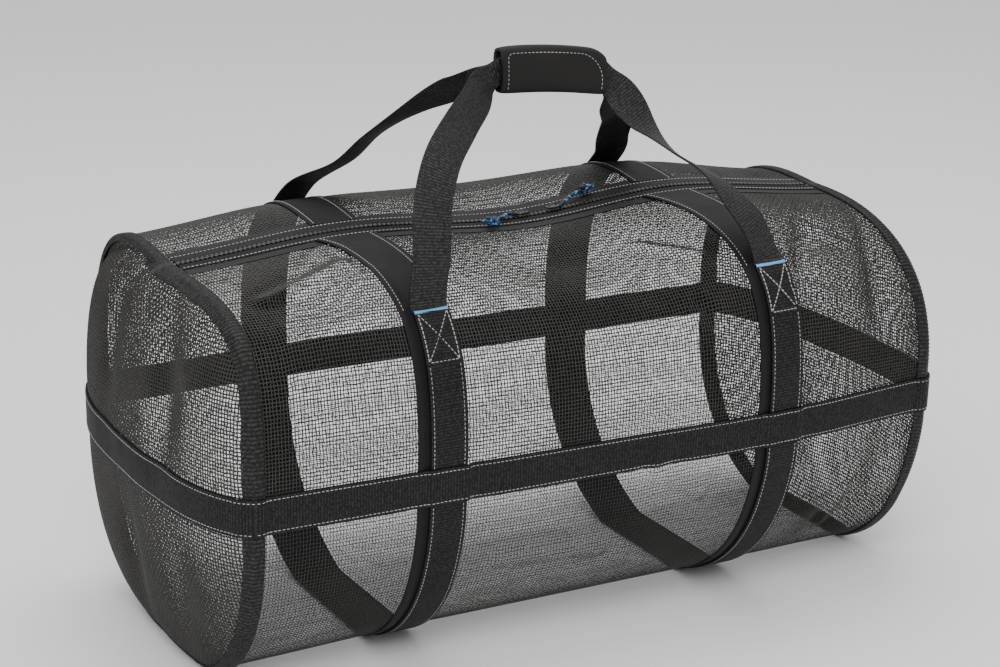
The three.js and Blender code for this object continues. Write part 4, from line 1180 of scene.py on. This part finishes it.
def foot(side, at):
    """Where a handle leaves its bar tack: start, way, outward normal."""
    half = WEBBING_WIDTH / 2
    raise_ = STRAP_LOW + WEBBING / 2
    x = np.array([at - half, at + half])
    tack = angle_at_height(x, side, TACK_HEIGHT)
    above = tack + (angle_at_depth(x, side, SLIT / 2 + TAPE_WIDTH) - tack) / 4

    def surface(angle):
        p = body_point(x, side, angle)
        step = body_point(x, side, angle + 0.01) - p
        n = unit(np.cross(side * step, np.array([1.0, 0, 0])))
        return p + n * raise_

    lower, upper = surface(tack), surface(above)
    start, rise = lower.mean(0), unit(upper.mean(0) - lower.mean(0))
    across = (lower[1] - lower[0]) * -side / 2
    normal = -unit(np.cross(rise, across))
    return start + rise * GAP, unit(rise + normal * FOOT_LIFT), normal


def handle_path(side):
    name = "back" if side > 0 else "front"
    left, right = (foot(side, STRAPS[k]) for k in ("left", "right"))
    offset = side * (WEBBING / 2 + GAP)
    grip = []
    for share, droop in GRIP_LINE:
        apart = GRIP_PART if abs(share) > 1 else 1
        grip.append(grip_point(share * GRIP_HALF, offset * apart) - np.array([0, 0, droop]))

    def leg(rows, tack, end):
        return [tack + (end - tack) * np.array(row) for row in rows]

    path = [left[0], left[0] + left[1] * FOOT_RISE]
    path += leg(LEGS[name + "_left"], left[0], grip[0]) + grip
    path += leg(LEGS[name + "_right"], right[0], grip[-1])[::-1]
    path += [right[0] + right[1] * FOOT_RISE, right[0]]
    p = catmull(path, RIB_PITCH / 2)
    way = unit(np.gradient(p, axis=0))
    share = np.linspace(0, 1, len(p))
    first = np.argmax(p[:, 0] >= grip[0][0]) / (len(p) - 1)
    last = 1 - np.argmax(p[:, 0] >= grip[-1][0]) / (len(p) - 1)
    n = np.zeros_like(p)
    flat = np.array([0, float(side), 0])
    for i, s in enumerate(share):
        near, own, key = (s, first, "_left") if s < 0.5 else (1 - s, last, "_right")
        done = min(near / own, 1)
        lean, amount, peak = LEANS[name + key]
        hint = (left if s < 0.5 else right)[2] * (1 - done) + flat * done
        turned = np.sin(np.pi * done ** (math.log(0.5) / math.log(peak))) ** 2 * amount
        hint = hint * (1 - turned) + np.array(lean) * turned
        n[i] = unit(hint - way[i] * np.dot(hint, way[i]))
    return p, way, n


def make_handles():
    for side, name in ((-1, "front"), (1, "back")):
        p, way, n = handle_path(side)
        across = np.cross(n, way)
        half = WEBBING_WIDTH / 2
        columns = np.array([-half, -half + 1.6, 0, half - 1.6, half])
        edge = np.array([0.35, 0, 0, 0, 0.35])[None, :, None]
        place = np.abs(p[:, 0] - GRIP_ACROSS) / GRIP_HALF
        pinch = 1 - PINCH * np.exp(-(((place - PINCH_AT) / PINCH_SPAN) ** 2))
        points = p[:, None] + across[:, None] * (columns[None, :] * pinch[:, None])[..., None]
        thick = WEBBING / 2 - edge + rib(len(p))
        parts = Parts()
        # The rib crests carry the painted highlight.
        parts.slab(points - n[:, None] * thick, points + n[:, None] * thick, ridge=crest_highlights(points))
        parts.make("webbing_handle_" + name, HANDLE_WEB, replaces=("handle_" + name,), slot="webbing")


def make_grip():
    xs = np.linspace(-GRIP_HALF, GRIP_HALF, 48)
    angle = 2 * np.pi * (np.arange(64) + 0.5) / 64

    def rounded(half, deep, power):
        y = deep * np.sign(np.cos(angle)) * np.abs(np.cos(angle)) ** (2 / power)
        z = half * np.sign(np.sin(angle)) * np.abs(np.sin(angle)) ** (2 / power)
        return np.stack([0 * y, y, z], 1)

    outer, inner = [], []
    for x in xs:
        end = abs(x) / GRIP_HALF
        swell = 1 - GRIP_TAPER * end**6 - 0.02 * end**30
        fat = 1 + 0.035 * np.cos(x / 9.0) * (1 - end**4)
        cut = 1 - GRIP_CORNER * (max(x / GRIP_HALF - GRIP_CORNER_FROM, 0) / (1 - GRIP_CORNER_FROM)) ** 2
        middle = grip_point(x, 0)
        ring = rounded(GRIP_HEIGHT / 2 * swell, GRIP_DEPTH / 2 * swell, 3.2)
        ring[:, 2] *= np.where(ring[:, 2] > 0, cut, 1)
        low = np.clip(-ring[:, 2] / (GRIP_HEIGHT / 2), 0, 1)
        ring[:, 1] *= 1 + (fat - 1) * low
        outer.append(middle + ring)
        slot = rounded(WEBBING_WIDTH / 2 + 2.2, WEBBING + GAP + 3.2, 8)
        slot_cut = min(1, (GRIP_HEIGHT / 2 * swell * cut - GRIP_WALL) / (WEBBING_WIDTH / 2 + 2.2))
        slot[:, 2] *= np.where(slot[:, 2] > 0, slot_cut, 1)
        inner.append(middle + slot)
    outer, inner = np.stack(outer, 1), np.stack(inner, 1)
    parts = Parts()
    parts.slab(inner, outer, closed=True)
    wrap = parts.make("grip_padding", PAD, replaces=("grip_wrap",), slot="padding")

    def front(x, z):
        """Points on the wrap's front face."""
        end = np.abs(x) / GRIP_HALF
        swell = 1 - GRIP_TAPER * end**6
        deep = GRIP_DEPTH / 2 * swell * (1 - np.abs(z / (GRIP_HEIGHT / 2 * swell)) ** 3.2) ** (1 / 3.2)
        base = np.array([grip_point(v, 0) for v in x])
        return base + np.stack([0 * x, -deep, z], 1)

    edge, top, low, radius = GRIP_HALF - 6, GRIP_HEIGHT / 2 - 6, -GRIP_HEIGHT / 2 + 5, 24
    turn = np.radians(np.linspace(0, 90, 12))
    corner = np.stack([edge - radius + radius * np.sin(turn), top - radius + radius * np.cos(turn)], 1)
    path = np.vstack([[[-edge, low], [-edge, top - 3], [-edge + 3, top]], corner, [[edge, low]]])
    path = np.column_stack([path, np.zeros(len(path))])
    path = along(path, path, np.arange(0, line_length(path), 1.0))
    line = front(path[:, 0], path[:, 1])
    thread = Parts()
    stitches(thread, line, np.tile([0.0, -1, 0], (len(line), 1)), 0.05)
    thread.make("stitches_grip", THREAD, slot="padding")


make_cords()
make_nets()
make_straps()
make_strips()
make_bindings()
make_band()
make_zipper()
make_sliders()
make_handles()
make_grip()


# Floor and light


def make_stage():
    bpy.ops.mesh.primitive_plane_add(size=30, location=(0, 0, -0.0004))
    floor = bpy.context.object
    floor.name = "floor"
    n = Nodes("floor", 0.9, 0.1)
    n.colour(n.mix(n.noise(3), (0.92, 0.92, 0.92), (0.95, 0.95, 0.95)))
    floor.data.materials.append(n.material)
    world = bpy.data.worlds.new("studio")
    bpy.context.scene.world = world
    world.use_nodes = True
    world.node_tree.nodes["Background"].inputs["Color"].default_value = (1, 1, 1, 1)
    world.node_tree.nodes["Background"].inputs["Strength"].default_value = 0.8
    for name, place, size, power in (
        ("key", (-1.6, -2.2, 2.6), 1.8, 60),
        ("top", (0.4, 0.6, 3.0), 2.2, 45),
    ):
        light = bpy.data.lights.new(name, "AREA")
        light.size = size
        light.energy = power
        lamp = bpy.data.objects.new(name, light)
        lamp.location = place
        lamp.rotation_euler = (Vector((0, 0, 0.2)) - Vector(place)).to_track_quat("-Z", "Y").to_euler()
        bpy.context.scene.collection.objects.link(lamp)


make_stage()
